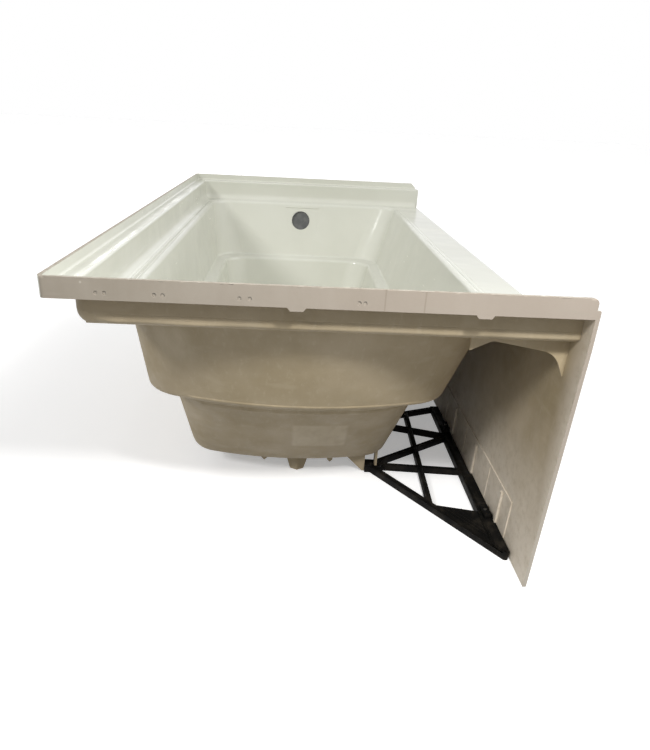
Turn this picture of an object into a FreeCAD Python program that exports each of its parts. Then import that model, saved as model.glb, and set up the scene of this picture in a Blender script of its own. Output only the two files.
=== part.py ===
import FreeCAD, Part
import math
import os
from FreeCAD import Vector
import Sketcher

# Alcove bathtub: a moulded shell with a tile flange on three sides, the front apron bonded to its deck,
# and the black frames that lie on the floor between the apron's foot and the shell's feet.
# Millimetres. The origin is the middle of the footprint on the floor, +X points to the overflow end,
# +Y to the back wall and +Z up. The near end is the end with the sloping back rest, at -X.

SIZES = {
    # Overall size, taken over the outer faces of the flange and the apron.
    "length": 1524.0,
    "width": 762.0,
    "overall_height": 495.0,
    # Rim: flange strip, ledge behind it and the drop down to the deck.
    "flange_depth": 30.0,
    "flange_thickness": 6.0,
    "flange_near_rounding": 9.0,
    "flange_far_cut": 14.0,
    "flange_outer_corner": 8.0,
    "flange_rise": 17.0,
    "rim_width": 37.0,
    "ledge_nose": 4.0,
    "flange_root": 4.0,
    "drop_corner": 18.0,
    "drop_bend": 17.0,
    "ledge_step": 56.0,
    "shell_thickness": 5.0,
    # Lugs and drill marks on the near flange, measured from the middle of the width.
    "lug_width": 26.0,
    "lug_depth": 5.0,
    "lug_draft": 4.0,
    "lug_wall_side": 36.0,
    "lug_apron_side": 223.0,
    "drill_mark_radius": 3.0,
    "drill_mark_depth": 1.5,
    "drill_mark_drop": 20.0,
    # Basin: how far its inner wall stands inside the outer faces, at four levels.
    "near_rim": 67.0,
    "near_shelf": 144.0,
    "near_well": 182.0,
    "near_floor": 345.0,
    "far_rim": 78.0,
    "far_shelf": 112.0,
    "far_well": 138.0,
    "far_floor": 172.0,
    "apron_rim": 91.0,
    "apron_shelf": 142.0,
    "apron_well": 172.0,
    "apron_floor": 218.0,
    "wall_rim": 71.0,
    "wall_shelf": 88.0,
    "wall_well": 119.0,
    "wall_floor": 143.0,
    "shelf_height": 254.0,
    "shelf_fall": 7.0,
    "floor_height": 45.0,
    "near_bow": 585.0,
    "near_rim_corner": 125.0,
    "near_shelf_corner": 80.0,
    "near_well_corner": 125.0,
    "near_floor_corner": 44.0,
    "far_rim_corner": 60.0,
    "far_shelf_corner": 74.0,
    "far_well_corner": 62.0,
    "far_floor_corner": 78.0,
    "rim_edge": 10.0,
    "rim_under_edge": 9.0,
    "shelf_root": 7.0,
    "well_edge": 10.0,
    "well_under_edge": 4.0,
    "floor_bend": 33.0,
    # Waste and overflow holes, on the basin's own centre line.
    "basin_line": 19.0,
    "overflow_radius": 30.0,
    "overflow_drop": 54.0,
    "drain_radius": 26.0,
    "drain_from_far": 239.0,
    # Webs under the deck's apron corners.
    "web_set_back": 58.0,
    "web_thickness": 6.0,
    "web_fall": 22.0,
    "web_drop": 38.0,
    "web_knee": 19.0,
    "web_arch": 38.0,
    "web_peak": 117.0,
    "web_peak_fall": 6.0,
    "web_peak_rounding": 18.0,
    "web_reach": 150.0,
    # Feet under the basin's floor.
    "foot_inset": 27.0,
    "foot_length": 24.0,
    "foot_top_width": 54.0,
    "foot_base_width": 29.0,
    "floor_rib_width": 12.0,
    "floor_rib_depth": 18.0,
    "floor_rib_spacing": 71.0,
    "floor_rib_start": 374.0,
    "floor_rib_end": 420.0,
    "wall_foot_inset": 83.0,
    "bracket_near": 388.0,
    "bracket_middle": 612.0,
    "bracket_inset": 23.0,
    "bracket_gap": 22.0,
    "bracket_rib_thickness": 5.0,
    "bracket_rib_length": 20.0,
    "bracket_rib_rise": 22.0,
    "bracket_gusset_reach": 46.0,
    "bracket_gusset_toe": 6.0,
    # Apron.
    "apron_thickness": 6.0,
    "apron_lean": 12.0,
    "apron_top_edge": 5.0,
    "ear_corner": 3.0,
    "band_height": 92.0,
    "band_proud": 2.0,
    "band_start": 120.0,
    "hook_rib_width": 8.0,
    "hook_rib_proud": 4.0,
    "hook_rib_top": 88.0,
    "hook_rib_first": 169.0,
    "hook_rib_pitch": 189.0,
    "pad_edge_width": 3.0,
    "pad_edge_proud": 1.0,
    "pad_edge_offset": 88.0,
    # Floor frames.
    "frame_height": 14.0,
    "rail_width": 24.0,
    "rail_step": 3.5,
    "rail_step_height": 2.0,
    "bar_width": 10.0,
    "brace_bar_width": 12.0,
    "frame_tip": 71.0,
    "diagonal_start": 383.0,
    "rail_joint": 350.0,
    "rail_node": 541.0,
    "frame_half_gap": 53.0,
    "stringer_start": 230.0,
    "stringer_start_inset": 89.0,
    "stringer_end_gap": 45.0,
    "stringer_end_inset": 72.5,
    "plate_edge": 210.0,
    "plate_sink": 2.0,
    "hub_length": 34.0,
    "hub_width": 40.0,
    # Rail clips and their screws.
    "clip_length": 40.0,
    "clip_depth": 14.0,
    "clip_height": 8.0,
    "tooth_depth": 4.0,
    "clip_gap": 6.0,
    "screw_head_radius": 3.0,
    "screw_head_height": 1.8,
    "screw_radius": 1.6,
    "screw_depth": 16.0,
    "screw_clearance": 0.3,
    # Clearances, and how far a cut or a joint inside one piece runs past a face.
    "seat_gap": 0.5,
    "overrun": 2.0,
}

HOOK_RIBS_PER_HALF = 3
CENTRE_FEET = 3
CLIP_TEETH = 5
# Where the joints with the corner brace lie, as shares of the long diagonal and of the stringer.
DIAGONAL_JOINT_SHARE = 0.08
STRINGER_JOINT_SHARE = 0.05
# Drill marks in pairs, as shares of the half width from the middle of the near flange.
DRILL_MARK_SHARES = (0.8, 0.769, 0.596, 0.566, 0.298, 0.261, -0.127, -0.148)
# Corners of the plan of a centre foot and of a rounded rib's section, as shares of their sizes.
FOOT_SHOULDER_SHARE = 0.38
RIB_ROUNDING_SHARE = 0.45
# How far past the brace's end the first bar meets the rail, as a share of the way to the node.
FIRST_BAR_SHARE = 0.12
# The spacing of the centre feet, as a share of the floor's length.
FOOT_PITCH_SHARE = 0.377
TOLERANCE = 0.01

doc = FreeCAD.newDocument("bathtub")
sheet = doc.addObject("Spreadsheet::Sheet", "sizes")
for row, (alias, size) in enumerate(SIZES.items(), start=1):
    sheet.set(f"A{row}", str(size))
    sheet.setAlias(f"A{row}", alias)
doc.recompute()


def value(expression):
    """Work out an expression of named sizes."""
    return float(sheet.evalExpression(expression))


def s(name):
    """Refer to a named size in an expression."""
    return f"sizes.{name}"


HALF_LENGTH = f"({s('length')} / 2)"
HALF_WIDTH = f"({s('width')} / 2)"
FRONT = f"(-{HALF_WIDTH} + {s('apron_thickness')})"
LEDGE_HEIGHT = f"({s('overall_height')} - {s('flange_rise')})"
DECK_HEIGHT = f"({LEDGE_HEIGHT} - {s('ledge_step')})"
DECK_UNDER = f"({DECK_HEIGHT} - {s('shell_thickness')})"
FLOOR_UNDER = f"({s('floor_height')} - {s('shell_thickness')})"
WELL_HEIGHT = f"({s('shelf_height')} - {s('shelf_fall')})"
BRACKET_LINE = f"(-{HALF_WIDTH} + {s('apron_floor')} + {s('bracket_inset')})"
WALL_FOOT_LINE = f"({HALF_WIDTH} - {s('wall_floor')} - {s('wall_foot_inset')})"
FRAME_END = f"({HALF_LENGTH} - {s('frame_half_gap')})"


def from_end(distance, end):
    """Place along X at a distance from one end; end is -1 for the near end and 1 for the far end."""
    return f"({end} * ({HALF_LENGTH} - ({distance})))"


def apron_inner(height):
    """Place along Y of the apron's inner face at a height, which leans in towards its foot."""
    return f"({FRONT} + {s('apron_lean')} * (1 - ({height}) / {DECK_HEIGHT}))"


def new_body(label):
    """Start a sub-part whose label names its file."""
    body = doc.addObject("PartDesign::Body", label.title().replace("_", ""))
    body.Label = label
    return body


def new_sketch(body, name, level="0", role="XY_Plane"):
    """Start a sketch on one of the body's own origin planes, moved along its normal."""
    sketch = body.newObject("Sketcher::SketchObject", name)
    plane = next(feature for feature in body.Origin.OriginFeatures if feature.Role == role)
    sketch.AttachmentSupport = (plane, [""])
    sketch.MapMode = "FlatFace"
    sketch.setExpression("AttachmentOffset.Base.z", level)
    return sketch


def bind(sketch, kind, *parts):
    """Add a constraint whose last part is an expression of named sizes."""
    index = sketch.addConstraint(Sketcher.Constraint(kind, *parts[:-1], value(parts[-1])))
    sketch.setExpression(f"Constraints[{index}]", parts[-1])


def pin(sketch, geometry, point, x, y):
    """Fix a point of a sketch at a place given by two expressions."""
    bind(sketch, "DistanceX", -1, 1, geometry, point, x)
    bind(sketch, "DistanceY", -1, 1, geometry, point, y)


def outline(sketch, corners):
    """Draw a closed outline through corners, each a pair of expressions."""
    places = [Vector(value(x), value(y), 0) for x, y in corners]
    count = len(places)
    first = sketch.GeometryCount
    for index, place in enumerate(places):
        sketch.addGeometry(Part.LineSegment(place, places[(index + 1) % count]))
    for index in range(count):
        following = first + (index + 1) % count
        sketch.addConstraint(Sketcher.Constraint("Coincident", first + index, 2, following, 1))
    for index, (x, y) in enumerate(corners):
        pin(sketch, first + index, 1, x, y)
    return sketch


def rectangle(sketch, x_low, x_high, y_low, y_high):
    """Draw a rectangle between two places along each axis."""
    return outline(sketch, [(x_low, y_low), (x_high, y_low), (x_high, y_high), (x_low, y_high)])


def basin_outline(sketch, sides, near_radius, far_radius, bow):
    """Draw a basin's plan: rounded corners, with the near end bowed outwards as one shallow arc."""
    near, far, low, high = (value(side) for side in sides)
    inner, outer, bulge = (value(part) for part in (near_radius, far_radius, bow))
    middle = (low + high) / 2
    bow_centre = Vector(near + bulge, middle, 0)
    offset = (high - low) / 2 - inner
    corner_x = bow_centre.x - math.sqrt((bulge - inner) ** 2 - offset ** 2)
    near_low, near_high = Vector(corner_x, middle - offset, 0), Vector(corner_x, middle + offset, 0)
    far_low, far_high = Vector(far - outer, low + outer, 0), Vector(far - outer, high - outer, 0)
    turn = math.asin(offset / (bulge - inner))
    quarter = math.pi / 2

    def arc(centre, radius, start, end):
        """Add an arc between two angles."""
        sketch.addGeometry(Part.ArcOfCircle(Part.Circle(centre, Vector(0, 0, 1), radius), start, end))

    def line(x_start, y_start, x_end, y_end):
        """Add a straight side."""
        sketch.addGeometry(Part.LineSegment(Vector(x_start, y_start, 0), Vector(x_end, y_end, 0)))

    line(corner_x, low, far_low.x, low)
    arc(far_low, outer, -quarter, 0)
    line(far, far_low.y, far, far_high.y)
    arc(far_high, outer, 0, quarter)
    line(far_high.x, high, corner_x, high)
    arc(near_high, inner, quarter, 2 * quarter - turn)
    arc(bow_centre, bulge, 2 * quarter - turn, 2 * quarter + turn)
    arc(near_low, inner, 2 * quarter + turn, 3 * quarter)
    for index in range(8):
        sketch.addConstraint(Sketcher.Constraint("Tangent", index, 2, (index + 1) % 8, 1))
    for index in (0, 4):
        sketch.addConstraint(Sketcher.Constraint("Horizontal", index))
    sketch.addConstraint(Sketcher.Constraint("Vertical", 2))
    for first, second in ((1, 3), (5, 7)):
        sketch.addConstraint(Sketcher.Constraint("Equal", first, second))
    for index, radius in ((1, far_radius), (5, near_radius), (6, bow)):
        bind(sketch, "Radius", index, radius)
    bind(sketch, "DistanceY", -1, 1, 0, 1, sides[2])
    bind(sketch, "DistanceX", -1, 1, 2, 1, sides[1])
    bind(sketch, "DistanceY", -1, 1, 4, 1, sides[3])
    bind(sketch, "DistanceX", -1, 1, 6, 3, f"({sides[0]} + {bow})")
    return sketch


def circle(sketch, centre, radius):
    """Draw a circle at a place given by two expressions."""
    index = sketch.GeometryCount
    place = Vector(value(centre[0]), value(centre[1]), 0)
    sketch.addGeometry(Part.Circle(place, Vector(0, 0, 1), value(radius)))
    pin(sketch, index, 3, *centre)
    bind(sketch, "Radius", index, radius)
    return sketch


def bar_outline(sketch, start, end, width):
    """Draw a bar's plan between two places, each a pair of expressions, with square ends."""
    begin = Vector(value(start[0]), value(start[1]), 0)
    finish = Vector(value(end[0]), value(end[1]), 0)
    along = (finish - begin).normalize()
    across = Vector(-along.y, along.x, 0) * (value(width) / 2)
    corners = [begin + across, finish + across, finish - across, begin - across]
    for index in range(4):
        sketch.addGeometry(Part.LineSegment(corners[index], corners[(index + 1) % 4]))
    sketch.addGeometry(Part.Point(begin), True)
    sketch.addGeometry(Part.Point(finish), True)
    for index in range(4):
        sketch.addConstraint(Sketcher.Constraint("Coincident", index, 2, (index + 1) % 4, 1))
    pin(sketch, 4, 1, *start)
    pin(sketch, 5, 1, *end)
    sketch.addConstraint(Sketcher.Constraint("Symmetric", 1, 1, 1, 2, 5, 1))
    sketch.addConstraint(Sketcher.Constraint("Symmetric", 3, 1, 3, 2, 4, 1))
    sketch.addConstraint(Sketcher.Constraint("Perpendicular", 0, 1))
    sketch.addConstraint(Sketcher.Constraint("Perpendicular", 0, 3))
    sketch.addConstraint(Sketcher.Constraint("Equal", 1, 3))
    bind(sketch, "Distance", 1, width)
    return sketch


def pad(body, sketch, length):
    """Add material from a sketch along its normal."""
    feature = body.newObject("PartDesign::Pad", sketch.Name + "Pad")
    feature.Profile = sketch
    feature.setExpression("Length", length)
    sketch.Visibility = False
    return feature


def pocket(body, sketch, length):
    """Remove material from a sketch against its normal, and make sure that something was cut."""
    doc.recompute()
    before = body.Tip.Shape.Volume
    feature = body.newObject("PartDesign::Pocket", sketch.Name + "Pocket")
    feature.Profile = sketch
    feature.setExpression("Length", length)
    sketch.Visibility = False
    doc.recompute()
    if not feature.Shape.Volume < before:
        raise RuntimeError(f"{feature.Name} cuts nothing")
    return feature


def loft(body, kind, name, sketches):
    """Join sketches by straight walls, as added or removed material."""
    feature = body.newObject(f"PartDesign::{kind}", name)
    feature.Profile = sketches[0]
    feature.Sections = sketches[1:]
    feature.Ruled = True
    doc.recompute()
    return feature


def dress(body, kind, name, sizes, picked):
    """Fillet or chamfer the edges of the body's last feature that a test picks."""
    doc.recompute()
    base = body.Tip
    edges = [f"Edge{number}" for number, edge in enumerate(base.Shape.Edges, start=1) if picked(edge)]
    if not edges:
        raise RuntimeError(f"{name} finds no edge")
    feature = body.newObject(f"PartDesign::{kind}", name)
    feature.Base = (base, edges)
    for prop, expression in sizes.items():
        feature.setExpression(prop, expression)
    doc.recompute()
    return feature


def near_to(first, second):
    """Tell whether two lengths agree."""
    return abs(first - second) < TOLERANCE


def runs_through(edge, across, height):
    """Tell whether an edge along X stands at one place across and up."""
    box = edge.BoundBox
    return (near_to(box.YMin, across) and near_to(box.YMax, across)
            and near_to(box.ZMin, height) and near_to(box.ZMax, height))


def lies_at_height(edge, height):
    """Tell whether a whole edge lies at one height, given as an expression."""
    level = value(height)
    return near_to(edge.BoundBox.ZMin, level) and near_to(edge.BoundBox.ZMax, level)


def lies_within(edge, x_low, x_high, y_low, y_high):
    """Tell whether an edge lies inside a plan area given by four expressions."""
    box = edge.BoundBox
    return (box.XMin > value(x_low) - TOLERANCE and box.XMax < value(x_high) + TOLERANCE
            and box.YMin > value(y_low) - TOLERANCE and box.YMax < value(y_high) + TOLERANCE)


def lies_on_front(edge):
    """Tell whether an edge lies in the plane where the apron is bonded on."""
    return near_to(edge.BoundBox.YMin, value(FRONT)) and near_to(edge.BoundBox.YMax, value(FRONT))


# Basin rings

RINGS = {"rim": DECK_HEIGHT, "shelf": s("shelf_height"), "well": WELL_HEIGHT, "floor": s("floor_height")}
WALL_SPANS = {"rim": ("rim", "shelf"), "shelf": ("rim", "shelf"), "well": ("well", "floor"),
              "floor": ("well", "floor")}


def thickness_share(side, ring):
    """How much of the shell's thickness a lowered ring grows sideways, so that its wall stays even."""
    top, base = WALL_SPANS[ring]
    run = f"({s(f'{side}_{base}')} - {s(f'{side}_{top}')})"
    fall = f"({RINGS[top]} - {RINGS[base]})"
    return f"((sqrt({run}^2 + {fall}^2) - {run}) / {fall})"


def ring_sides(ring, outer):
    """The four sides of a basin ring, on the shell's inner or outer face."""
    margins = {}
    for side in ("near", "far", "apron", "wall"):
        margins[side] = s(f"{side}_{ring}")
        if outer:
            margins[side] = f"({margins[side]} - {s('shell_thickness')} * {thickness_share(side, ring)})"
    return (from_end(margins["near"], -1), from_end(margins["far"], 1),
            f"(-{HALF_WIDTH} + {margins['apron']})", f"({HALF_WIDTH} - {margins['wall']})")


def ring_height(ring, outer):
    """The height of a basin ring on the shell's inner or outer face."""
    return f"({RINGS[ring]} - {s('shell_thickness')})" if outer else RINGS[ring]


def ring_sketch(body, ring, outer):
    """Draw one basin ring at its height."""
    name = ("Outer" if outer else "Inner") + ring.title()
    sketch = new_sketch(body, name, ring_height(ring, outer))
    radii = [s(f"near_{ring}_corner"), s(f"far_{ring}_corner"), s("near_bow")]
    if outer:
        radii = [f"({radius} + {s('shell_thickness')})" for radius in radii]
    return basin_outline(sketch, ring_sides(ring, outer), *radii)


def on_ring(edge, ring, outer):
    """Tell whether an edge belongs to one basin ring."""
    return lies_at_height(edge, ring_height(ring, outer)) and lies_within(edge, *ring_sides(ring, outer))


# Tub shell

def footprint(sketch, inset, open_front=False):
    """Draw the plan of the shell inset on three sides; an open front runs past the apron's plane."""
    front = f"({FRONT} - {s('overrun')})" if open_front else FRONT
    return rectangle(sketch, from_end(inset, -1), from_end(inset, 1), front, f"({HALF_WIDTH} - ({inset}))")


def build_rim(body):
    """Flange strip, ledge and drop wall, cut open towards the apron, down to the flat deck."""
    strip_base = f"({s('overall_height')} - {s('flange_depth')})"
    ledge_under = f"({LEDGE_HEIGHT} - {s('shell_thickness')})"
    drop_outer = f"({s('rim_width')} - {s('shell_thickness')})"
    block = footprint(new_sketch(body, "FlangeBlock", strip_base), "0")
    pad(body, block, s("flange_depth"))
    top = footprint(new_sketch(body, "LedgeTop", s("overall_height")), s("flange_thickness"), True)
    pocket(body, top, f"{s('overall_height')} - {LEDGE_HEIGHT}")
    under = footprint(new_sketch(body, "LedgeUnder", ledge_under), s("flange_thickness"), True)
    pocket(body, under, f"{ledge_under} - {strip_base} + {s('overrun')}")
    drop = footprint(new_sketch(body, "DropBlock", DECK_UNDER), drop_outer)
    pad(body, drop, f"{ledge_under} - {DECK_UNDER}")
    deck = footprint(new_sketch(body, "DeckTop", LEDGE_HEIGHT), s("rim_width"), True)
    pocket(body, deck, f"{LEDGE_HEIGHT} - {DECK_HEIGHT}")


def upright_corner(edge, inset):
    """Tell whether an edge is one of the two upright back corners of a footprint with this inset."""
    box = edge.BoundBox
    x = value(f"{HALF_LENGTH} - ({inset})")
    y = value(f"{HALF_WIDTH} - ({inset})")
    upright = box.ZLength > TOLERANCE and box.XLength < TOLERANCE and box.YLength < TOLERANCE
    return upright and near_to(abs(box.XMin), x) and near_to(box.YMin, y)


def round_rim_corners(body):
    """Round the upright back corners, the outer ones by the shell's thickness more."""
    drop_outer = f"({s('rim_width')} - {s('shell_thickness')})"
    dress(body, "Fillet", "DropCorner", {"Radius": s("drop_corner")},
          lambda edge: upright_corner(edge, s("rim_width")))
    dress(body, "Fillet", "DropOuterCorner", {"Radius": f"{s('drop_corner')} + {s('shell_thickness')}"},
          lambda edge: upright_corner(edge, drop_outer))
    dress(body, "Fillet", "FlangeOuterCorner", {"Radius": s("flange_outer_corner")},
          lambda edge: upright_corner(edge, "0"))
    dress(body, "Fillet", "FlangeInnerCorner",
          {"Radius": f"{s('flange_outer_corner')} - {s('flange_thickness')}"},
          lambda edge: upright_corner(edge, s("flange_thickness")))
    dress(body, "Fillet", "DropBend", {"Radius": s("drop_bend")},
          lambda edge: lies_at_height(edge, DECK_HEIGHT) and not lies_on_front(edge))


def build_basin_outside(body):
    """The basin's underside, with the bends that follow its inner edges at the shell's thickness."""
    loft(body, "AdditiveLoft", "BasinOutside", [ring_sketch(body, ring, True) for ring in RINGS])
    outer_rim = ring_sides("rim", True)
    dress(body, "Fillet", "DropOuterBend", {"Radius": f"{s('drop_bend')} + {s('shell_thickness')}"},
          lambda edge: lies_at_height(edge, DECK_UNDER) and not lies_within(edge, *outer_rim)
          and not lies_on_front(edge))
    dress(body, "Fillet", "RimUnderEdge", {"Radius": s("rim_under_edge")},
          lambda edge: on_ring(edge, "rim", True))
    dress(body, "Fillet", "ShelfOuterRoot", {"Radius": f"{s('shelf_root')} + {s('shell_thickness')}"},
          lambda edge: on_ring(edge, "shelf", True))
    dress(body, "Fillet", "WellUnderEdge", {"Radius": s("well_under_edge")},
          lambda edge: on_ring(edge, "well", True))
    dress(body, "Fillet", "FloorOuterBend", {"Radius": f"{s('floor_bend')} + {s('shell_thickness')}"},
          lambda edge: on_ring(edge, "floor", True))


def build_web(body, end):
    """A web under the deck's apron corner, arched down onto the apron's inner face."""
    top = f"({DECK_UNDER} + {s('overrun')})"
    low = f"({DECK_UNDER} - {s('web_fall')} - {s('web_drop')})"
    knee = (f"({FRONT} + {s('web_knee')})", f"({DECK_UNDER} - {s('web_fall')})")
    peak = (f"({FRONT} + {s('web_peak')})", f"({DECK_UNDER} - {s('web_peak_fall')})")
    reach_end = f"({FRONT} + {s('web_reach')})"
    name = "NearWeb" if end < 0 else "FarWeb"
    back = from_end(f"{s('web_set_back')} + {s('web_thickness')}" if end > 0 else s("web_set_back"), end)
    sketch = new_sketch(body, name, back, "YZ_Plane")
    outline(sketch, [(apron_inner(DECK_UNDER), top), (apron_inner(low), low), knee, peak,
                     (reach_end, knee[1]), (reach_end, top)])
    pad(body, sketch, s("web_thickness"))
    for corner, place, radius in (("Arch", knee, "web_arch"), ("Peak", peak, "web_peak_rounding")):
        across, height = value(place[0]), value(place[1])
        dress(body, "Fillet", name + corner, {"Radius": s(radius)},
              lambda edge: edge.BoundBox.XMin * end > 0 and runs_through(edge, across, height))


def build_centre_foot(body, number):
    """A wedge foot under the floor, its upright ridge towards the near end."""
    floor_length = f"({s('length')} - {s('near_floor')} - {s('far_floor')})"
    first = f"{s('near_floor')} + {s('foot_inset')}"
    ridge = from_end(f"{first} + {number} * {floor_length} * {FOOT_PITCH_SHARE}", -1)
    line = s("basin_line")
    sections = []
    for name, level, width in (("Base", "0", "foot_base_width"),
                               ("Top", f"({FLOOR_UNDER} + {s('overrun')})", "foot_top_width")):
        half = f"({s(width)} / 2)"
        shoulder = f"({ridge} + {s('foot_length')} * {FOOT_SHOULDER_SHARE})"
        back = f"({ridge} + {s('foot_length')})"
        sketch = new_sketch(body, f"CentreFoot{number}{name}", level)
        sections.append(outline(sketch, [(ridge, line), (shoulder, f"({line} + {half})"),
                                         (back, f"({line} + {half})"), (back, f"({line} - {half})"),
                                         (shoulder, f"({line} - {half})")]))
    loft(body, "AdditiveLoft", f"CentreFoot{number}", sections)


def build_floor_rib(body, side):
    """A long rounded rib under the floor, beside the centre feet."""
    line = f"({s('basin_line')} + {side} * {s('floor_rib_spacing')})"
    half = f"({s('floor_rib_width')} / 2)"
    rounding = f"({s('floor_rib_width')} * {RIB_ROUNDING_SHARE})"
    base = f"({FLOOR_UNDER} - {s('floor_rib_depth')})"
    top = f"({FLOOR_UNDER} + {s('overrun')})"
    name = "FloorRibWallSide" if side > 0 else "FloorRibApronSide"
    sketch = new_sketch(body, name, from_end(s("floor_rib_start"), -1), "YZ_Plane")
    outline(sketch, [(f"({line} - {half})", top), (f"({line} - {half})", f"({base} + {rounding})"),
                     (f"({line} - {half} + {rounding})", base), (f"({line} + {half} - {rounding})", base),
                     (f"({line} + {half})", f"({base} + {rounding})"), (f"({line} + {half})", top)])
    pad(body, sketch, f"{s('length')} - {s('floor_rib_start')} - {s('floor_rib_end')}")


def bracket_ribs():
    """The two upright ribs of a bracket foot, as pairs of places along Y."""
    half = f"({s('bracket_gap')} / 2)"
    thick = s("bracket_rib_thickness")
    return ((f"({BRACKET_LINE} + {half})", f"({BRACKET_LINE} + {half} + {thick})"),
            (f"({BRACKET_LINE} - {half} - {thick})", f"({BRACKET_LINE} - {half})"))


def bracket_span(place, end, length):
    """Where a foot of this length at a bracket's place lies along X, lowest first."""
    distance = s(f"bracket_{place}")
    return sorted((from_end(f"{distance} - {length} / 2", end), from_end(f"{distance} + {length} / 2", end)),
                  key=value)


def build_bracket_ribs(body):
    """The upright ribs of the bracket feet, which the frames' hubs hook onto, and two plain wall feet."""
    sketch = new_sketch(body, "UprightRibs")
    for end in (-1, 1):
        for place in ("near", "middle"):
            for low, high in bracket_ribs():
                rectangle(sketch, *bracket_span(place, end, s("bracket_rib_length")), low, high)
        rectangle(sketch, *bracket_span("middle", end, s("foot_length")),
                  f"({WALL_FOOT_LINE} - {s('foot_base_width')} / 2)",
                  f"({WALL_FOOT_LINE} + {s('foot_base_width')} / 2)")
    pad(body, sketch, f"({FLOOR_UNDER} + {s('bracket_rib_rise')})")


def build_bracket_gusset(body, place, end):
    """A gusset that sweeps down from the floor to a bracket foot's inner rib."""
    name = f"Gusset{place.title()}{'Near' if end < 0 else 'Far'}"
    rib_face = bracket_ribs()[0][0]
    toe = f"({rib_face} + {s('bracket_rib_thickness')} + {s('bracket_gusset_toe')})"
    reach = f"({rib_face} + {s('bracket_gusset_reach')})"
    top = f"({FLOOR_UNDER} + {s('overrun')})"
    sketch = new_sketch(body, name, bracket_span(place, end, s("bracket_rib_length"))[0], "YZ_Plane")
    outline(sketch, [(rib_face, "0"), (f"({rib_face} + {s('bracket_rib_thickness')})", "0"),
                     (toe, s("bracket_gusset_toe")), (reach, FLOOR_UNDER), (reach, top), (rib_face, top)])
    pad(body, sketch, s("bracket_rib_thickness"))


def build_cavity():
    """The hollow of the basin as a body of its own, with its bends and the cores of its two holes."""
    body = new_body("basin_cavity")
    loft(body, "AdditiveLoft", "BasinInside", [ring_sketch(body, ring, False) for ring in RINGS])
    for name, ring, size in (("ShelfRoot", "shelf", "shelf_root"), ("WellEdge", "well", "well_edge"),
                             ("FloorBend", "floor", "floor_bend")):
        dress(body, "Fillet", name, {"Radius": s(size)}, lambda edge, ring=ring: on_ring(edge, ring, False))
    build_hole_cores(body)
    return body


def combine(body, kind, name, tool):
    """Join a helper body to the sub-part, or cut it out."""
    feature = body.newObject("PartDesign::Boolean", name)
    feature.Type = kind
    feature.setObjects([tool])
    doc.recompute()
    return feature


def build_supports():
    """The webs and feet of the shell as one helper body of several solids."""
    body = new_body("supports")
    body.AllowCompound = True
    build_bracket_ribs(body)
    for end in (-1, 1):
        build_web(body, end)
        build_bracket_gusset(body, "near", end)
        build_bracket_gusset(body, "middle", end)
    for number in range(CENTRE_FEET):
        build_centre_foot(body, number)
    for side in (-1, 1):
        build_floor_rib(body, side)
    return body


def round_rim_edges(body):
    """Round the ledge's nose and its root at the flange, and shape the flange's two ends."""
    inner = (from_end(s("rim_width"), -1), from_end(s("rim_width"), 1), FRONT,
             f"({HALF_WIDTH} - {s('rim_width')})")
    dress(body, "Fillet", "LedgeNose", {"Radius": s("ledge_nose")},
          lambda edge: lies_at_height(edge, LEDGE_HEIGHT) and lies_within(edge, *inner)
          and not lies_on_front(edge))
    dress(body, "Fillet", "FlangeRoot", {"Radius": s("flange_root")},
          lambda edge: lies_at_height(edge, LEDGE_HEIGHT) and not lies_within(edge, *inner)
          and not lies_on_front(edge) and edge.BoundBox.DiagonalLength > value(s("rim_width")))

    def flange_tip(edge, end):
        """Tell whether an edge is the flange's top front corner at one end."""
        at_top = lies_on_front(edge) and lies_at_height(edge, s("overall_height"))
        return at_top and edge.BoundBox.XMin * end > 0

    dress(body, "Fillet", "FlangeNearTip", {"Radius": s("flange_near_rounding")},
          lambda edge: flange_tip(edge, -1))
    dress(body, "Chamfer", "FlangeFarTip", {"Size": s("flange_far_cut")},
          lambda edge: flange_tip(edge, 1))


def build_flange_marks(body):
    """Two lugs under the near flange and the pairs of drill marks on its face."""
    strip_base = f"({s('overall_height')} - {s('flange_depth')})"
    near_face = from_end("0", -1)
    for name, line in (("LugWallSide", s("lug_wall_side")), ("LugApronSide", f"(-{s('lug_apron_side')})")):
        half = f"({s('lug_width')} / 2)"
        base = f"({strip_base} - {s('lug_depth')})"
        top = f"({strip_base} + {s('overrun')})"
        sketch = new_sketch(body, name, near_face, "YZ_Plane")
        outline(sketch, [(f"({line} - {half})", top), (f"({line} - {half})", strip_base),
                         (f"({line} - {half} + {s('lug_draft')})", base),
                         (f"({line} + {half} - {s('lug_draft')})", base),
                         (f"({line} + {half})", strip_base), (f"({line} + {half})", top)])
        pad(body, sketch, s("flange_thickness"))
    marks = new_sketch(body, "DrillMarks", f"({near_face} + {s('drill_mark_depth')})", "YZ_Plane")
    for share in DRILL_MARK_SHARES:
        circle(marks, (f"{HALF_WIDTH} * {share}", f"({s('overall_height')} - {s('drill_mark_drop')})"),
               s("drill_mark_radius"))
    pocket(body, marks, f"{s('drill_mark_depth')} + {s('overrun')}")


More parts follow.
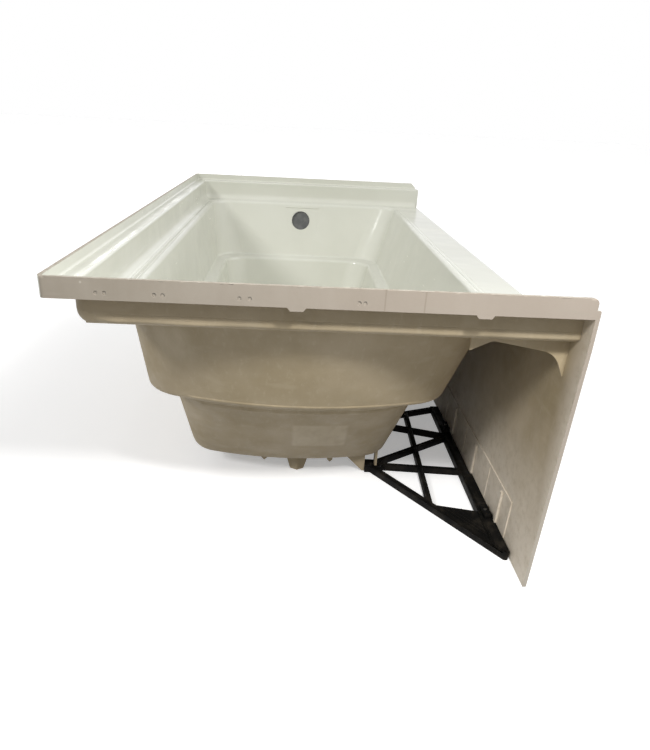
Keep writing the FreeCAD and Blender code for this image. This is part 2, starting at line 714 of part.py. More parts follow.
def build_hole_cores(body):
    """The cores of the overflow hole, square to the far wall, and of the drain hole in the floor."""
    run = f"({s('far_shelf')} - {s('far_rim')})"
    fall = f"({DECK_HEIGHT} - {s('shelf_height')})"
    wall_place = from_end(f"{s('far_rim')} + {run} * {s('overflow_drop')} / {fall}", 1)
    overflow = new_sketch(body, "OverflowCore", f"({wall_place} - {s('shell_thickness')})", "YZ_Plane")
    overflow.AttachmentOffset = FreeCAD.Placement(Vector(), FreeCAD.Rotation(Vector(1, 0, 0), 1))
    overflow.setExpression("AttachmentOffset.Base.z", f"({wall_place} - {s('shell_thickness')})")
    overflow.setExpression("AttachmentOffset.Base.y",
                           f"({DECK_HEIGHT} - {s('overflow_drop')} + {s('shell_thickness')} * {run} / {fall})")
    overflow.setExpression("AttachmentOffset.Rotation.Angle", f"atan({run} / {fall})")
    circle(overflow, (s("basin_line"), "0"), s("overflow_radius"))
    pad(body, overflow, f"3 * {s('shell_thickness')}")
    drain = new_sketch(body, "DrainCore", f"({FLOOR_UNDER} - {s('overrun')})")
    circle(drain, (from_end(s("drain_from_far"), 1), s("basin_line")), s("drain_radius"))
    pad(body, drain, f"({s('shell_thickness')} + 2 * {s('overrun')})")


def build_tub_shell():
    """The moulded shell: rim, deck, basin, webs and feet in one solid."""
    body = new_body("tub_shell")
    build_rim(body)
    round_rim_corners(body)
    round_rim_edges(body)
    build_flange_marks(body)
    build_basin_outside(body)
    combine(body, "Fuse", "SupportsJoined", build_supports())
    combine(body, "Cut", "BasinHollow", build_cavity())
    dress(body, "Fillet", "RimEdge", {"Radius": s("rim_edge")}, lambda edge: on_ring(edge, "rim", False))
    return body


# Apron

def apron_strip(body, name, start, length, low, high, proud):
    """A raised strip on the apron's inner face, between two heights and two places along X."""
    sketch = new_sketch(body, name, start, "YZ_Plane")
    sink = f"{s('apron_thickness')} / 2"
    outline(sketch, [(f"({apron_inner(low)} - {sink})", low), (f"({apron_inner(low)} + {proud})", low),
                     (f"({apron_inner(high)} + {proud})", f"({high} - {proud})"),
                     (f"({apron_inner(high)} - {sink})", high)])
    pad(body, sketch, length)


def build_apron():
    """The front skirt with an ear at each end, its thick foot band and its upright hook ribs."""
    body = new_body("apron")
    left = from_end("0", -1)
    face = new_sketch(body, "Skirt", left, "YZ_Plane")
    foot = f"(-{HALF_WIDTH} + {s('apron_lean')})"
    outline(face, [(foot, "0"), (apron_inner("0"), "0"), (FRONT, DECK_HEIGHT),
                   (f"(-{HALF_WIDTH})", DECK_HEIGHT)])
    pad(body, face, s("length"))
    dress(body, "Fillet", "SkirtTopEdge", {"Radius": s("apron_top_edge")},
          lambda edge: lies_at_height(edge, DECK_HEIGHT) and near_to(edge.BoundBox.YMin, -value(HALF_WIDTH))
          and near_to(edge.BoundBox.YMax, -value(HALF_WIDTH)))
    for name, start in (("NearEar", left), ("FarEar", f"({HALF_LENGTH} - {s('rim_width')})")):
        ear = new_sketch(body, name, start, "YZ_Plane")
        rectangle(ear, f"(-{HALF_WIDTH})", FRONT, f"({DECK_HEIGHT} - {s('apron_top_edge')})",
                  LEDGE_HEIGHT)
        pad(body, ear, s("rim_width"))
    dress(body, "Fillet", "EarCorner", {"Radius": s("ear_corner")},
          lambda edge: lies_at_height(edge, LEDGE_HEIGHT) and near_to(edge.BoundBox.YMin, -value(HALF_WIDTH))
          and near_to(edge.BoundBox.YMax, -value(HALF_WIDTH)))
    band_length = f"{s('length')} - 2 * {s('band_start')}"
    apron_strip(body, "FootBand", from_end(s("band_start"), -1), band_length, "0", s("band_height"),
                s("band_proud"))
    rib_base = f"({s('frame_height')} + {s('rail_step_height')} + {s('seat_gap')})"
    rib_proud = f"({s('band_proud')} + {s('hook_rib_proud')})"
    edge_proud = f"({s('band_proud')} + {s('pad_edge_proud')})"
    for end in (-1, 1):
        side = "Near" if end < 0 else "Far"
        for number in range(HOOK_RIBS_PER_HALF):
            middle = from_end(f"{s('hook_rib_first')} + {number} * {s('hook_rib_pitch')}", end)
            apron_strip(body, f"HookRib{side}{number}", f"({middle} - {s('hook_rib_width')} / 2)",
                        s("hook_rib_width"), rib_base, s("hook_rib_top"), rib_proud)
            edge_place = from_end(f"{s('hook_rib_first')} + {number} * {s('hook_rib_pitch')}"
                                  f" + {s('pad_edge_offset')}", end)
            apron_strip(body, f"PadEdge{side}{number}", f"({edge_place} - {s('pad_edge_width')} / 2)",
                        s("pad_edge_width"), rib_base, s("hook_rib_top"), edge_proud)
    return body


# Floor frames

RAIL_OUTER = f"({apron_inner('0')} + {s('band_proud')} + {s('seat_gap')})"
RAIL_INNER = f"({RAIL_OUTER} + {s('rail_width')})"
RAIL_MIDDLE = f"(({RAIL_OUTER} + {RAIL_INNER}) / 2)"


class Frame:
    """The places of one end's floor frame, as pairs of expressions."""

    def __init__(self, end):
        self.end = end
        self.side = "near" if end < 0 else "far"
        self.first_hub = (from_end(s("bracket_near"), end), BRACKET_LINE)
        self.second_hub = (from_end(s("bracket_middle"), end), BRACKET_LINE)
        self.tip = (from_end(f"{s('frame_tip')} + {s('brace_bar_width')} / 2", end),
                    f"({RAIL_OUTER} + {s('brace_bar_width')} / 2)")
        self.diagonal_start = (from_end(s("diagonal_start"), end), BRACKET_LINE)
        self.rail_joint = (from_end(s("rail_joint"), end), RAIL_MIDDLE)
        self.rail_node = (from_end(s("rail_node"), end), RAIL_MIDDLE)
        self.rail_end = (from_end(f"{FRAME_END} - {s('bar_width')} / 2", end), RAIL_MIDDLE)
        self.stringer_start = (from_end(s("stringer_start"), end),
                               f"({RAIL_INNER} + {s('stringer_start_inset')})")
        self.stringer_end = (from_end(f"{FRAME_END} - {s('stringer_end_gap')}", end),
                             f"({RAIL_INNER} + {s('stringer_end_inset')})")

    def along(self, start, finish, share):
        """The place at a share of the way between two places."""
        return tuple(f"({first} + ({second} - {first}) * {share})" for first, second in zip(start, finish))

    def diagonal_joint(self):
        """Where the brace's long diagonal meets the lattice's first hub."""
        return self.along(self.diagonal_start, self.tip, DIAGONAL_JOINT_SHARE)

    def stringer_joint(self):
        """Where the lattice's stringer meets the brace's plate."""
        return self.along(self.stringer_start, self.stringer_end, STRINGER_JOINT_SHARE)

    def span(self, low, high):
        """Two distances from this end as places along X, lowest first."""
        return sorted((from_end(low, self.end), from_end(high, self.end)), key=value)

    def bar(self, body, name, start, finish, width, height):
        """A straight bar on the floor between two places."""
        pad(body, bar_outline(new_sketch(body, name), start, finish, width), height)

    def hub(self, body, name, place):
        """A hub block with a slot that lets a bracket foot's outer rib through."""
        distance = s(f"bracket_{place}")
        half = f"({s('hub_length')} / 2)"
        inner = f"({bracket_ribs()[0][0]} - {s('seat_gap')})"
        sketch = new_sketch(body, name)
        rectangle(sketch, *self.span(f"{distance} - {half}", f"{distance} + {half}"),
                  f"({inner} - {s('hub_width')})", inner)
        pad(body, sketch, s("frame_height"))

    def hub_slot(self, body, name, place):
        """The slot for the bracket foot's outer rib."""
        distance = s(f"bracket_{place}")
        half = f"({s('bracket_rib_length')} / 2 + {s('seat_gap')})"
        low, high = bracket_ribs()[1]
        sketch = new_sketch(body, name, f"({s('frame_height')} + {s('overrun')})")
        rectangle(sketch, *self.span(f"{distance} - {half}", f"{distance} + {half}"),
                  f"({low} - {s('seat_gap')})", f"({high} + {s('seat_gap')})")
        pocket(body, sketch, f"{s('frame_height')} + 2 * {s('overrun')}")

    def rail(self, body, name, low, high, outer, height):
        """A stretch of the rail along the apron's foot."""
        sketch = new_sketch(body, name)
        rectangle(sketch, *self.span(low, high), outer, RAIL_INNER)
        pad(body, sketch, height)

    def screw_hole(self, body, name, place):
        """A blind hole in the rail under a clip."""
        sketch = new_sketch(body, name, f"({self.clip_seat(place)} + {s('overrun')})")
        circle(sketch, self.screw_place(place), f"({s('screw_radius')} + {s('screw_clearance')})")
        depth = f"{s('screw_depth')} - {s('clip_height')} + {s('seat_gap')}"
        pocket(body, sketch, f"{depth} + {s('overrun')}")

    def clip_start(self, place):
        """Distance from this end at which a clip starts, beside a hook rib."""
        rib = {"corner": s("hook_rib_first"),
               "middle": f"({s('hook_rib_first')} + {HOOK_RIBS_PER_HALF - 1} * {s('hook_rib_pitch')})"}[place]
        return f"({rib} + {s('hook_rib_width')} / 2 + {s('clip_gap')})"

    def clip_seat(self, place):
        """The height of the rail's top under a clip."""
        if place == "corner":
            return f"({s('frame_height')} + {s('rail_step_height')})"
        return s("frame_height")

    def screw_place(self, place):
        """The middle of a clip's screw."""
        return (from_end(f"{self.clip_start(place)} + {s('clip_length')} / 2", self.end),
                f"({RAIL_OUTER} + {s('rail_step')} + {s('clip_depth')} / 2 + {s('tooth_depth')} / 2)")

    def build_lattice(self):
        """Crossed bars from two hubs to the rail, with a stringer through them."""
        body = new_body(f"lattice_frame_{self.side}")
        outer = f"({RAIL_OUTER} + {s('rail_step')})"
        height = s("frame_height")
        self.rail(body, "Rail", s("rail_joint"), FRAME_END, outer, height)
        crossings = (("FirstBar", self.first_hub, self.along(self.rail_joint, self.rail_node, FIRST_BAR_SHARE)),
                     ("SecondBar", self.first_hub, self.rail_node),
                     ("ThirdBar", self.second_hub, self.rail_node),
                     ("FourthBar", self.second_hub, self.rail_end))
        for name, start, finish in crossings:
            self.bar(body, name, start, finish, s("bar_width"), height)
        self.bar(body, "DiagonalStub", self.diagonal_start, self.diagonal_joint(),
                 s("brace_bar_width"), height)
        self.bar(body, "Stringer", self.stringer_joint(), self.stringer_end, s("bar_width"), height)
        for name, place in (("FirstHub", "near"), ("SecondHub", "middle")):
            self.hub(body, name, place)
        for name, place in (("FirstHubSlot", "near"), ("SecondHubSlot", "middle")):
            self.hub_slot(body, name, place)
        self.screw_hole(body, "ScrewHole", "middle")
        return body

    def build_brace(self):
        """The corner plate with its own stretch of rail and the long diagonal."""
        body = new_body(f"corner_brace_{self.side}")
        height = f"({s('frame_height')} + {s('rail_step_height')})"
        plate_height = f"({s('frame_height')} - {s('plate_sink')})"
        joint = from_end(s("rail_joint"), self.end)
        tip_x, tip_y = self.tip
        start_x, start_y = self.diagonal_start
        slant = f"({tip_x} + ({RAIL_INNER} - {tip_y}) * ({start_x} - {tip_x}) / ({start_y} - {tip_y}))"
        rail = new_sketch(body, "Rail")
        outline(rail, [(tip_x, RAIL_OUTER), (joint, RAIL_OUTER), (joint, RAIL_INNER), (slant, RAIL_INNER),
                       self.tip])
        pad(body, rail, height)
        nose = circle(new_sketch(body, "Nose"), self.tip, f"({s('brace_bar_width')} / 2)")
        pad(body, nose, height)
        self.bar(body, "Diagonal", self.diagonal_joint(), self.tip, s("brace_bar_width"), s("frame_height"))
        self.bar(body, "StringerStub", self.stringer_joint(), self.stringer_start, s("bar_width"),
                 s("frame_height"))
        plate = new_sketch(body, "Plate")
        outline(plate, [self.tip, (from_end(s("plate_edge"), self.end), RAIL_INNER), self.stringer_start])
        pad(body, plate, plate_height)
        self.screw_hole(body, "ScrewHole", "corner")
        return body

    def build_clip(self, label, place):
        """A clip on the rail with a row of teeth towards the apron."""
        body = new_body(label)
        start = self.clip_start(place)
        pitch = f"({s('clip_length')} / {CLIP_TEETH})"
        outer = f"({RAIL_OUTER} + {s('rail_step')})"
        valley = f"({outer} + {s('tooth_depth')})"
        inner = f"({outer} + {s('clip_depth')})"
        corners = [(from_end(start, self.end), inner), (from_end(start, self.end), valley)]
        for tooth in range(CLIP_TEETH):
            corners.append((from_end(f"{start} + {tooth + 1} * {pitch} - {pitch} / 2", self.end), outer))
            corners.append((from_end(f"{start} + {tooth + 1} * {pitch}", self.end), valley))
        corners.append((from_end(f"{start} + {s('clip_length')}", self.end), inner))
        pad(body, outline(new_sketch(body, "Teeth", self.clip_seat(place)), corners), s("clip_height"))
        hole_top = f"({self.clip_seat(place)} + {s('clip_height')} + {s('overrun')})"
        hole = new_sketch(body, "ClipHole", hole_top)
        circle(hole, self.screw_place(place), f"({s('screw_radius')} + {s('screw_clearance')})")
        pocket(body, hole, f"{s('clip_height')} + 2 * {s('overrun')}")
        return body

    def build_screw(self, place):
        """A pan-head screw through a clip, as a head on a shank."""
        centre = self.screw_place(place)
        top = f"({self.clip_seat(place)} + {s('clip_height')})"
        name = f"Screw{place.title()}{self.side.title()}"
        head = doc.addObject("Part::Cylinder", name + "Head")
        head.setExpression("Radius", s("screw_head_radius"))
        head.setExpression("Height", s("screw_head_height"))
        shank = doc.addObject("Part::Cylinder", name + "Shank")
        shank.setExpression("Radius", s("screw_radius"))
        shank.setExpression("Height", f"{s('screw_depth')} + {s('screw_head_height')} / 2")
        for piece, level in ((head, top), (shank, f"({top} - {s('screw_depth')})")):
            piece.setExpression("Placement.Base.x", centre[0])
            piece.setExpression("Placement.Base.y", centre[1])
            piece.setExpression("Placement.Base.z", level)
        screw = doc.addObject("Part::Fuse", name)
        screw.Base = head
        screw.Tool = shank
        return screw


def main():
    """Build every sub-part, check it and write it."""
    subparts = [build_tub_shell(), build_apron()]
    screws = []
    number = 0
    for end in (-1, 1):
        frame = Frame(end)
        subparts += [frame.build_lattice(), frame.build_brace()]
        for place in ("corner", "middle"):
            number += 1
            subparts.append(frame.build_clip(f"rail_clip_{number}", place))
            screws.append(frame.build_screw(place))
    group = doc.addObject("Part::Compound", "ClipScrews")
    group.Label = "clip_screws"
    group.Links = screws
    subparts.append(group)
    doc.recompute()
    for item in doc.Objects:
        if "Invalid" in item.State or "Error" in item.State:
            raise RuntimeError(f"{item.Label} failed: {item.State}")
    os.makedirs("parts", exist_ok=True)
    for item in subparts:
        if item.Shape.isNull() or not item.Shape.isValid():
            raise RuntimeError(f"{item.Label} has no valid shape")
        item.Shape.exportStep(f"parts/{item.Label}.step")
        box = item.Shape.BoundBox
        print(item.Label, len(item.Shape.Solids), "solid(s)", round(item.Shape.Volume / 1000.0, 1), "cm3",
              [round(number, 1) for number in (box.XMin, box.XMax, box.YMin, box.YMax, box.ZMin, box.ZMax)])


main()
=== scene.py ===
"""Alcove bathtub with a front apron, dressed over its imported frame.

Metres, in the frame's own axes: +X points to the overflow end, +Y to the back wall, +Z up.
The near end is the end with the sloping back rest, at -X.
"""

import sys

import logging
import math
from collections.abc import Callable, Iterable
from dataclasses import dataclass, field
from enum import IntEnum
from functools import cached_property, reduce

import bmesh
import bpy
import numpy as np
from mathutils import Matrix, Vector, noise
from mathutils.bvhtree import BVHTree


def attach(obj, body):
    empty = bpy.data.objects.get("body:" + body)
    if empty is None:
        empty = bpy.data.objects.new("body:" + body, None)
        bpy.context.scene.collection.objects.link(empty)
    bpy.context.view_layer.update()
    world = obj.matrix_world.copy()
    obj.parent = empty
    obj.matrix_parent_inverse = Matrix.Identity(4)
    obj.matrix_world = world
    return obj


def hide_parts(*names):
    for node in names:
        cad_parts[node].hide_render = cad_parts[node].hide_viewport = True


Colour = tuple[float, float, float]
Point = tuple[float, float, float]
Pair = tuple[float, float]
Profile = list[Pair]
Station = tuple[Vector, Vector, Vector, float]
Socket = bpy.types.NodeSocket
Material = bpy.types.Material
Mesh = bpy.types.Mesh
Piece = bpy.types.Object
Surface = bmesh.types.BMesh
Ring = list[bmesh.types.BMVert]

LOG = logging.getLogger("bathtub")
BODY = "root"
UP = Vector((0.0, 0.0, 1.0))
SOURCE = "source"
DIVIDE_ROUNDS = 7
JOINED_WITHIN = 1e-6
LEVEL = 0.9999
CORNER_DEGREES = 40.0
SWEPT_DEGREES = 50.0
TURNED_DEGREES = 35.0


def both_sides(half: Profile) -> Profile:
    """A moulded line's cross-section from its outer half, which runs from the foot inward."""
    return half + [(-x, y) for x, y in half[::-1] if x]


RIDGE = both_sides([(-1.0, -0.4), (-0.82, 0.25), (-0.5, 0.8), (0.0, 1.0)])
SOFT_ROLL = both_sides([(-1.0, -0.9), (-0.8, -0.45), (-0.5, 0.35), (-0.2, 0.9), (0.0, 1.0)])
DOUBLE_RIDGE = both_sides([(-1.0, -0.4), (-0.88, 0.5), (-0.74, 1.0), (-0.58, 0.5), (-0.3, 0.1)])
BAND: Profile = [(-1.0, -0.4), (-0.92, 0.6), (-0.7, 1.0), (-0.2, 0.95), (0.4, 0.6), (1.0, -0.4)]


# ---- finishes


@dataclass(frozen=True)
class Layer:
    """One layer of soft noise or of scattered cells over a piece.

    Attributes:
        scale: How many waves or cells lie in a metre.
        detail: How many finer layers it has.
        rough: How strong the finer layers are.
        stretch: What each axis is multiplied by, below 1 for streaks along it.
        shift: How far the pattern is moved.
        cut: The range of its values that counts, with soft ends, or None for all of them.
        to: What that range becomes.
    """

    scale: float
    detail: float = 2.0
    rough: float = 0.5
    stretch: Point = (1.0, 1.0, 1.0)
    shift: Point = (0.0, 0.0, 0.0)
    cut: Pair | None = None
    to: Pair = (0.0, 1.0)


Relief = tuple[tuple[Layer, float], ...]


class Graph:
    """The node tree of a material or of the room, with short calls for the nodes that it uses."""

    def __init__(self, holder: Material | bpy.types.World) -> None:
        """Start with an empty tree.

        Args:
            holder: The new material or room.
        """
        holder.use_nodes = True
        self.holder = holder
        self.tree = holder.node_tree
        self.tree.nodes.clear()

    @cached_property
    def place(self) -> Socket:
        """The place on the piece, in metres."""
        return self.node("TexCoord").outputs["Object"]

    def node(self, kind: str, inputs: dict | None = None, **settings: object) -> bpy.types.Node:
        """Add a node.

        Args:
            kind: The node's type, without ShaderNode.
            inputs: Sockets or constants for its inputs, by name or number.
            settings: The node's own settings.

        Returns:
            The node.
        """
        made = self.tree.nodes.new("ShaderNode" + kind)
        for name, setting in settings.items():
            setattr(made, name, setting)
        for key, given in (inputs or {}).items():
            self.feed(made.inputs[key], given)
        return made

    def feed(self, socket: Socket, given: object) -> None:
        """Link a socket to an input, or set the input's constant.

        Args:
            socket: The input.
            given: A socket, a number or a colour.
        """
        if isinstance(given, Socket):
            self.tree.links.new(given, socket)
        elif socket.type == "RGBA":
            socket.default_value = (*given, 1.0)
        else:
            socket.default_value = given

    def pattern(self, kind: str, output: str, layer: Layer, **inputs: float) -> Socket:
        """A texture over the piece, cut as its layer asks.

        Args:
            kind: The texture node's type.
            output: The output that is read.
            layer: The layer.
            inputs: More constants of the texture node.

        Returns:
            The value.
        """
        moved = {"Vector": self.place, "Scale": layer.stretch, "Location": layer.shift}
        place = self.node("Mapping", moved).outputs[0]
        found = self.node(kind, {"Vector": place, "Scale": layer.scale, **inputs}).outputs[output]
        return found if layer.cut is None else self.remap(found, layer.cut, layer.to)

    def noise(self, layer: Layer) -> Socket:
        """Soft noise, about 0.5 where it isn't cut."""
        return self.pattern("TexNoise", "Fac", layer, Detail=layer.detail, Roughness=layer.rough)

    def cells(self, layer: Layer) -> Socket:
        """The distance to the nearest of a scatter of points, in cells, for specks and pits."""
        return self.pattern("TexVoronoi", "Distance", layer)

    def remap(self, given: Socket, cut: Pair, to: Pair = (0.0, 1.0)) -> Socket:
        """Stretch a range of values to another with soft ends.

        Args:
            given: The value.
            cut: Where the range starts and ends.
            to: What its start and its end become.

        Returns:
            The new value.
        """
        ends = {"From Min": cut[0], "From Max": cut[1], "To Min": to[0], "To Max": to[1]}
        made = self.node("MapRange", {"Value": given, **ends}, interpolation_type="SMOOTHSTEP")
        return made.outputs["Result"]

    def sums(self, operation: str, *given: object) -> Socket:
        """One sum of one, two or three values, such as ABSOLUTE or MULTIPLY_ADD."""
        return self.node("Math", dict(enumerate(given)), operation=operation).outputs[0]

    def chain(self, operation: str, given: Iterable[object]) -> Socket:
        """One sum carried on over any number of values, such as MULTIPLY or MAXIMUM."""
        return reduce(lambda first, second: self.sums(operation, first, second), given)

    def axis(self, letter: str) -> Socket:
        """One coordinate of the place on the piece, in metres."""
        return self.node("SeparateXYZ", {"Vector": self.place}).outputs[letter]

    def away(self, point: Point) -> Socket:
        """How far the place on the piece is from a point, in metres."""
        made = self.node("VectorMath", {0: self.place, 1: point}, operation="DISTANCE")
        return made.outputs["Value"]

    def mix(self, share: object, first: object, second: object, blend: str = "MIX") -> Socket:
        """Blend two colours.

        Args:
            share: How much of the second shows.
            first: A colour or a socket.
            second: A colour or a socket.
            blend: How the second is laid on.

        Returns:
            The blended colour.
        """
        made = self.node("Mix", data_type="RGBA", blend_type=blend)
        for number, given in ((0, share), (6, first), (7, second)):
            self.feed(made.inputs[number], given)
        return made.outputs[2]

    def coats(self, ground: object, *coats: tuple[Socket, Colour]) -> Socket:
        """Lay coats over a ground colour, each given by how much of it shows and by its colour."""
        return reduce(lambda under, coat: self.mix(coat[0], under, coat[1]), coats, ground)

    def relief(self, layers: Relief) -> Socket:
        """Lay layers of relief over each other.

        Args:
            layers: Each layer and how many metres its height of 1 stands for, the coarsest first.

        Returns:
            The surface direction.
        """
        under = {}
        for layer, depth in layers:
            height = {"Height": self.noise(layer), "Distance": depth, "Strength": 1.0}
            under = {"Normal": self.node("Bump", height | under).outputs["Normal"]}
        return under["Normal"]

    def seen(self) -> Socket:
        """1 for what the camera, a gloss or a glass sees, 0 for light that falls on a face.

        Returns:
            The value.
        """
        path = self.node("LightPath").outputs
        kinds = ("Camera", "Glossy", "Transmission")
        return self.chain("MAXIMUM", [path[f"Is {kind} Ray"] for kind in kinds])

    def close(self, shader: bpy.types.Node, output: str) -> bpy.types.ID:
        """Link the last shader to an output of a type, and hand back the finished material or room."""
        self.node(output, {"Surface": shader.outputs[0]})
        return self.holder

    def dress(self, **inputs: object) -> Material:
        """Close a material with a shader whose inputs are named with _ for their blanks."""
        named = {name.replace("_", " "): given for name, given in inputs.items()}
        return self.close(self.node("BsdfPrincipled", named), "OutputMaterial")


@dataclass(frozen=True)
class Finish:
    """What the finishes share: a body and a bloom of another tone over it, a gloss and a relief."""

    name: str
    body: Colour
    bloom: Colour
    cloud: Layer
    gloss: Layer | float
    relief: Relief
    ior: float = 1.5
    metal: float = 0.0

    def colour(self, g: Graph) -> Socket:
        """The body, with the bloom where the cloud layer is high."""
        return g.mix(g.noise(self.cloud), self.body, self.bloom)

    def roughness(self, g: Graph) -> Socket | float:
        """The roughness, even or by its layer."""
        return g.noise(self.gloss) if isinstance(self.gloss, Layer) else self.gloss

    def material(self) -> Material:
        """Colour, gloss and relief as one material."""
        g = Graph(bpy.data.materials.new(self.name))
        return g.dress(Base_Color=self.colour(g), Roughness=self.roughness(g), Metallic=self.metal,
                       IOR=self.ior, Normal=g.relief(self.relief))


@dataclass(frozen=True)
class GlossSkin(Finish):
    """The off-white glossy skin of the basin, the deck and the apron's face, in long soft waves."""

    name: str = "gloss_skin"
    body: Colour = (0.620, 0.623, 0.545)
    bloom: Colour = (0.660, 0.662, 0.587)
    cloud: Layer = Layer(3.0, 4.0, 0.55, cut=(0.35, 0.65))
    gloss: Layer = Layer(
        7.0, 5.0, 0.62, (1.0, 0.55, 1.0), (0.3, 0.1, 0.0), (0.38, 0.72), (0.14, 0.27))
    relief: Relief = ((Layer(7.0, 1.5, 0.4), 0.0028), (Layer(42.0, 2.0, 0.4, (1.0, 0.6, 1.0)), 0.00016),
                      (Layer(520.0), 0.00003))
    dust: Colour = (0.58, 0.57, 0.48)
    specks: Layer = Layer(230.0, cut=(0.06, 0.03), to=(0.0, 0.35))
    dusty: Layer = Layer(9.0, 3.0, cut=(0.5, 0.62))
    hairs: Layer = Layer(26.0, 2.0, 0.4, (1.0, 14.0, 14.0), cut=(0.70, 0.78), to=(0.0, 0.15))
    hair_share: float = 0.5

    def colour(self, g: Graph) -> Socket:
        """Two close tones under a few specks of dust."""
        specks = g.sums("MULTIPLY", g.cells(self.specks), g.noise(self.dusty))
        return g.mix(specks, super().colour(g), self.dust)

    def roughness(self, g: Graph) -> Socket | float:
        """Smears in the gloss, with hair scratches over them."""
        return g.sums("MULTIPLY_ADD", g.noise(self.hairs), self.hair_share, super().roughness(g))


@dataclass(frozen=True)
class MouldBack(Finish):
    """The raw grey-beige moulding face under the shell and behind the apron.

    Each of the pale patches gives its ends across, its ends up, how soft its border is and how strong it
    is.
    """

    name: str = "mould_back"
    body: Colour = (0.345, 0.279, 0.174)
    bloom: Colour = (0.425, 0.350, 0.236)
    cloud: Layer = Layer(5.5, 6.0, 0.6, cut=(0.32, 0.68))
    gloss: Layer = Layer(24.0, 5.0, 0.65, cut=(0.3, 0.7), to=(0.46, 0.68))
    relief: Relief = ((Layer(8.0), 0.0035), (Layer(130.0, 4.0, 0.65), 0.00022), (Layer(760.0), 0.00005))
    ior: float = 1.38
    streak: Colour = (0.52, 0.445, 0.318)
    fibres: Layer = Layer(95.0, 4.0, 0.7, (1.0, 1.0, 0.35), cut=(0.52, 0.74), to=(0.0, 0.30))
    flow: Layer = Layer(16.0, 3.0, 0.5, (0.5, 1.0, 2.2), cut=(0.56, 0.70), to=(0.0, 0.22))
    pits: Layer = Layer(210.0, cut=(0.16, 0.08), to=(0.0, 0.35))
    pale_patches: tuple[tuple[float, ...], ...] = (
        (-0.073, 0.032, 0.100, 0.174, 0.004, 1.00), (0.200, 0.262, 0.335, 0.395, 0.016, 0.60))
    patches_before: Pair = (-0.34, -0.44)
    patch_streaks: Layer = Layer(60.0, 4.0, 0.65, (1.0, 1.0, 0.3), cut=(0.25, 0.62), to=(0.45, 1.0))

    def pale_patch_share(self, g: Graph) -> Socket:
        """Where the near wall is coloured lighter in patches, soft at their borders.

        Args:
            g: The finish's node tree.

        Returns:
            How much of the pale patches shows.
        """
        # lighter patches of colour on the near wall, soft at their borders
        across, up = g.axis("Y"), g.axis("Z")
        spots = []
        for left, right, low, high, soft, strength in self.pale_patches:
            ends = ((across, left, 1), (across, right, -1), (up, low, 1), (up, high, -1))
            borders = [g.remap(place, (end - soft * way, end + soft * way)) for place, end, way in ends]
            spots.append(g.chain("MULTIPLY", [*borders, strength]))
        near = g.remap(g.axis("X"), self.patches_before)
        return g.chain("MULTIPLY", [g.chain("MAXIMUM", spots), near, g.noise(self.patch_streaks)])

    def colour(self, g: Graph) -> Socket:
        """Mottled fibres, flow marks, pits and pale patches."""
        marks = g.sums("MAXIMUM", g.noise(self.fibres), g.noise(self.flow))
        return g.coats(super().colour(g), (marks, self.streak), (g.cells(self.pits), self.body),
                       (self.pale_patch_share(g), self.streak))


@dataclass(frozen=True)
class ApronBack(MouldBack):
    """The raw back of the apron, paler toward its ends, with painted light that pales it toward its foot.
    """

    name: str = "apron_back"
    pale_coat_and_painted_light: Colour = (0.740, 0.665, 0.555)
    painted_light_cloud: Layer = Layer(13.0, 4.0, 0.6)
    painted_light_drift: float = 0.12
    painted_light_heights: Pair = (0.300, 0.015)
    pale_ends: Pair = (0.700, 0.775)
    pale_grain: Layer = Layer(60.0, 4.0, 0.7, cut=(0.2, 0.6), to=(0.55, 1.0))

    def colour(self, g: Graph) -> Socket:
        """Lay a thin cloudy pale coat over the mottled fibres: painted light toward the foot, a paler tone
        toward the ends.

        Args:
            g: The finish's node tree.

        Returns:
            The colour.
        """
        # painted light: the back pales toward its foot, as if more light reached it there
        drifting = g.sums("MULTIPLY_ADD", g.noise(self.painted_light_cloud), self.painted_light_drift, g.axis("Z"))
        high, low = (height + self.painted_light_drift / 2 for height in self.painted_light_heights)
        end = g.remap(g.sums("ABSOLUTE", g.axis("X")), self.pale_ends)
        either = g.sums("MAXIMUM", g.remap(drifting, (high, low)), end)
        pale_coat_and_painted_light = g.sums("MULTIPLY", either, g.noise(self.pale_grain))
        return g.mix(pale_coat_and_painted_light, super().colour(g), self.pale_coat_and_painted_light)


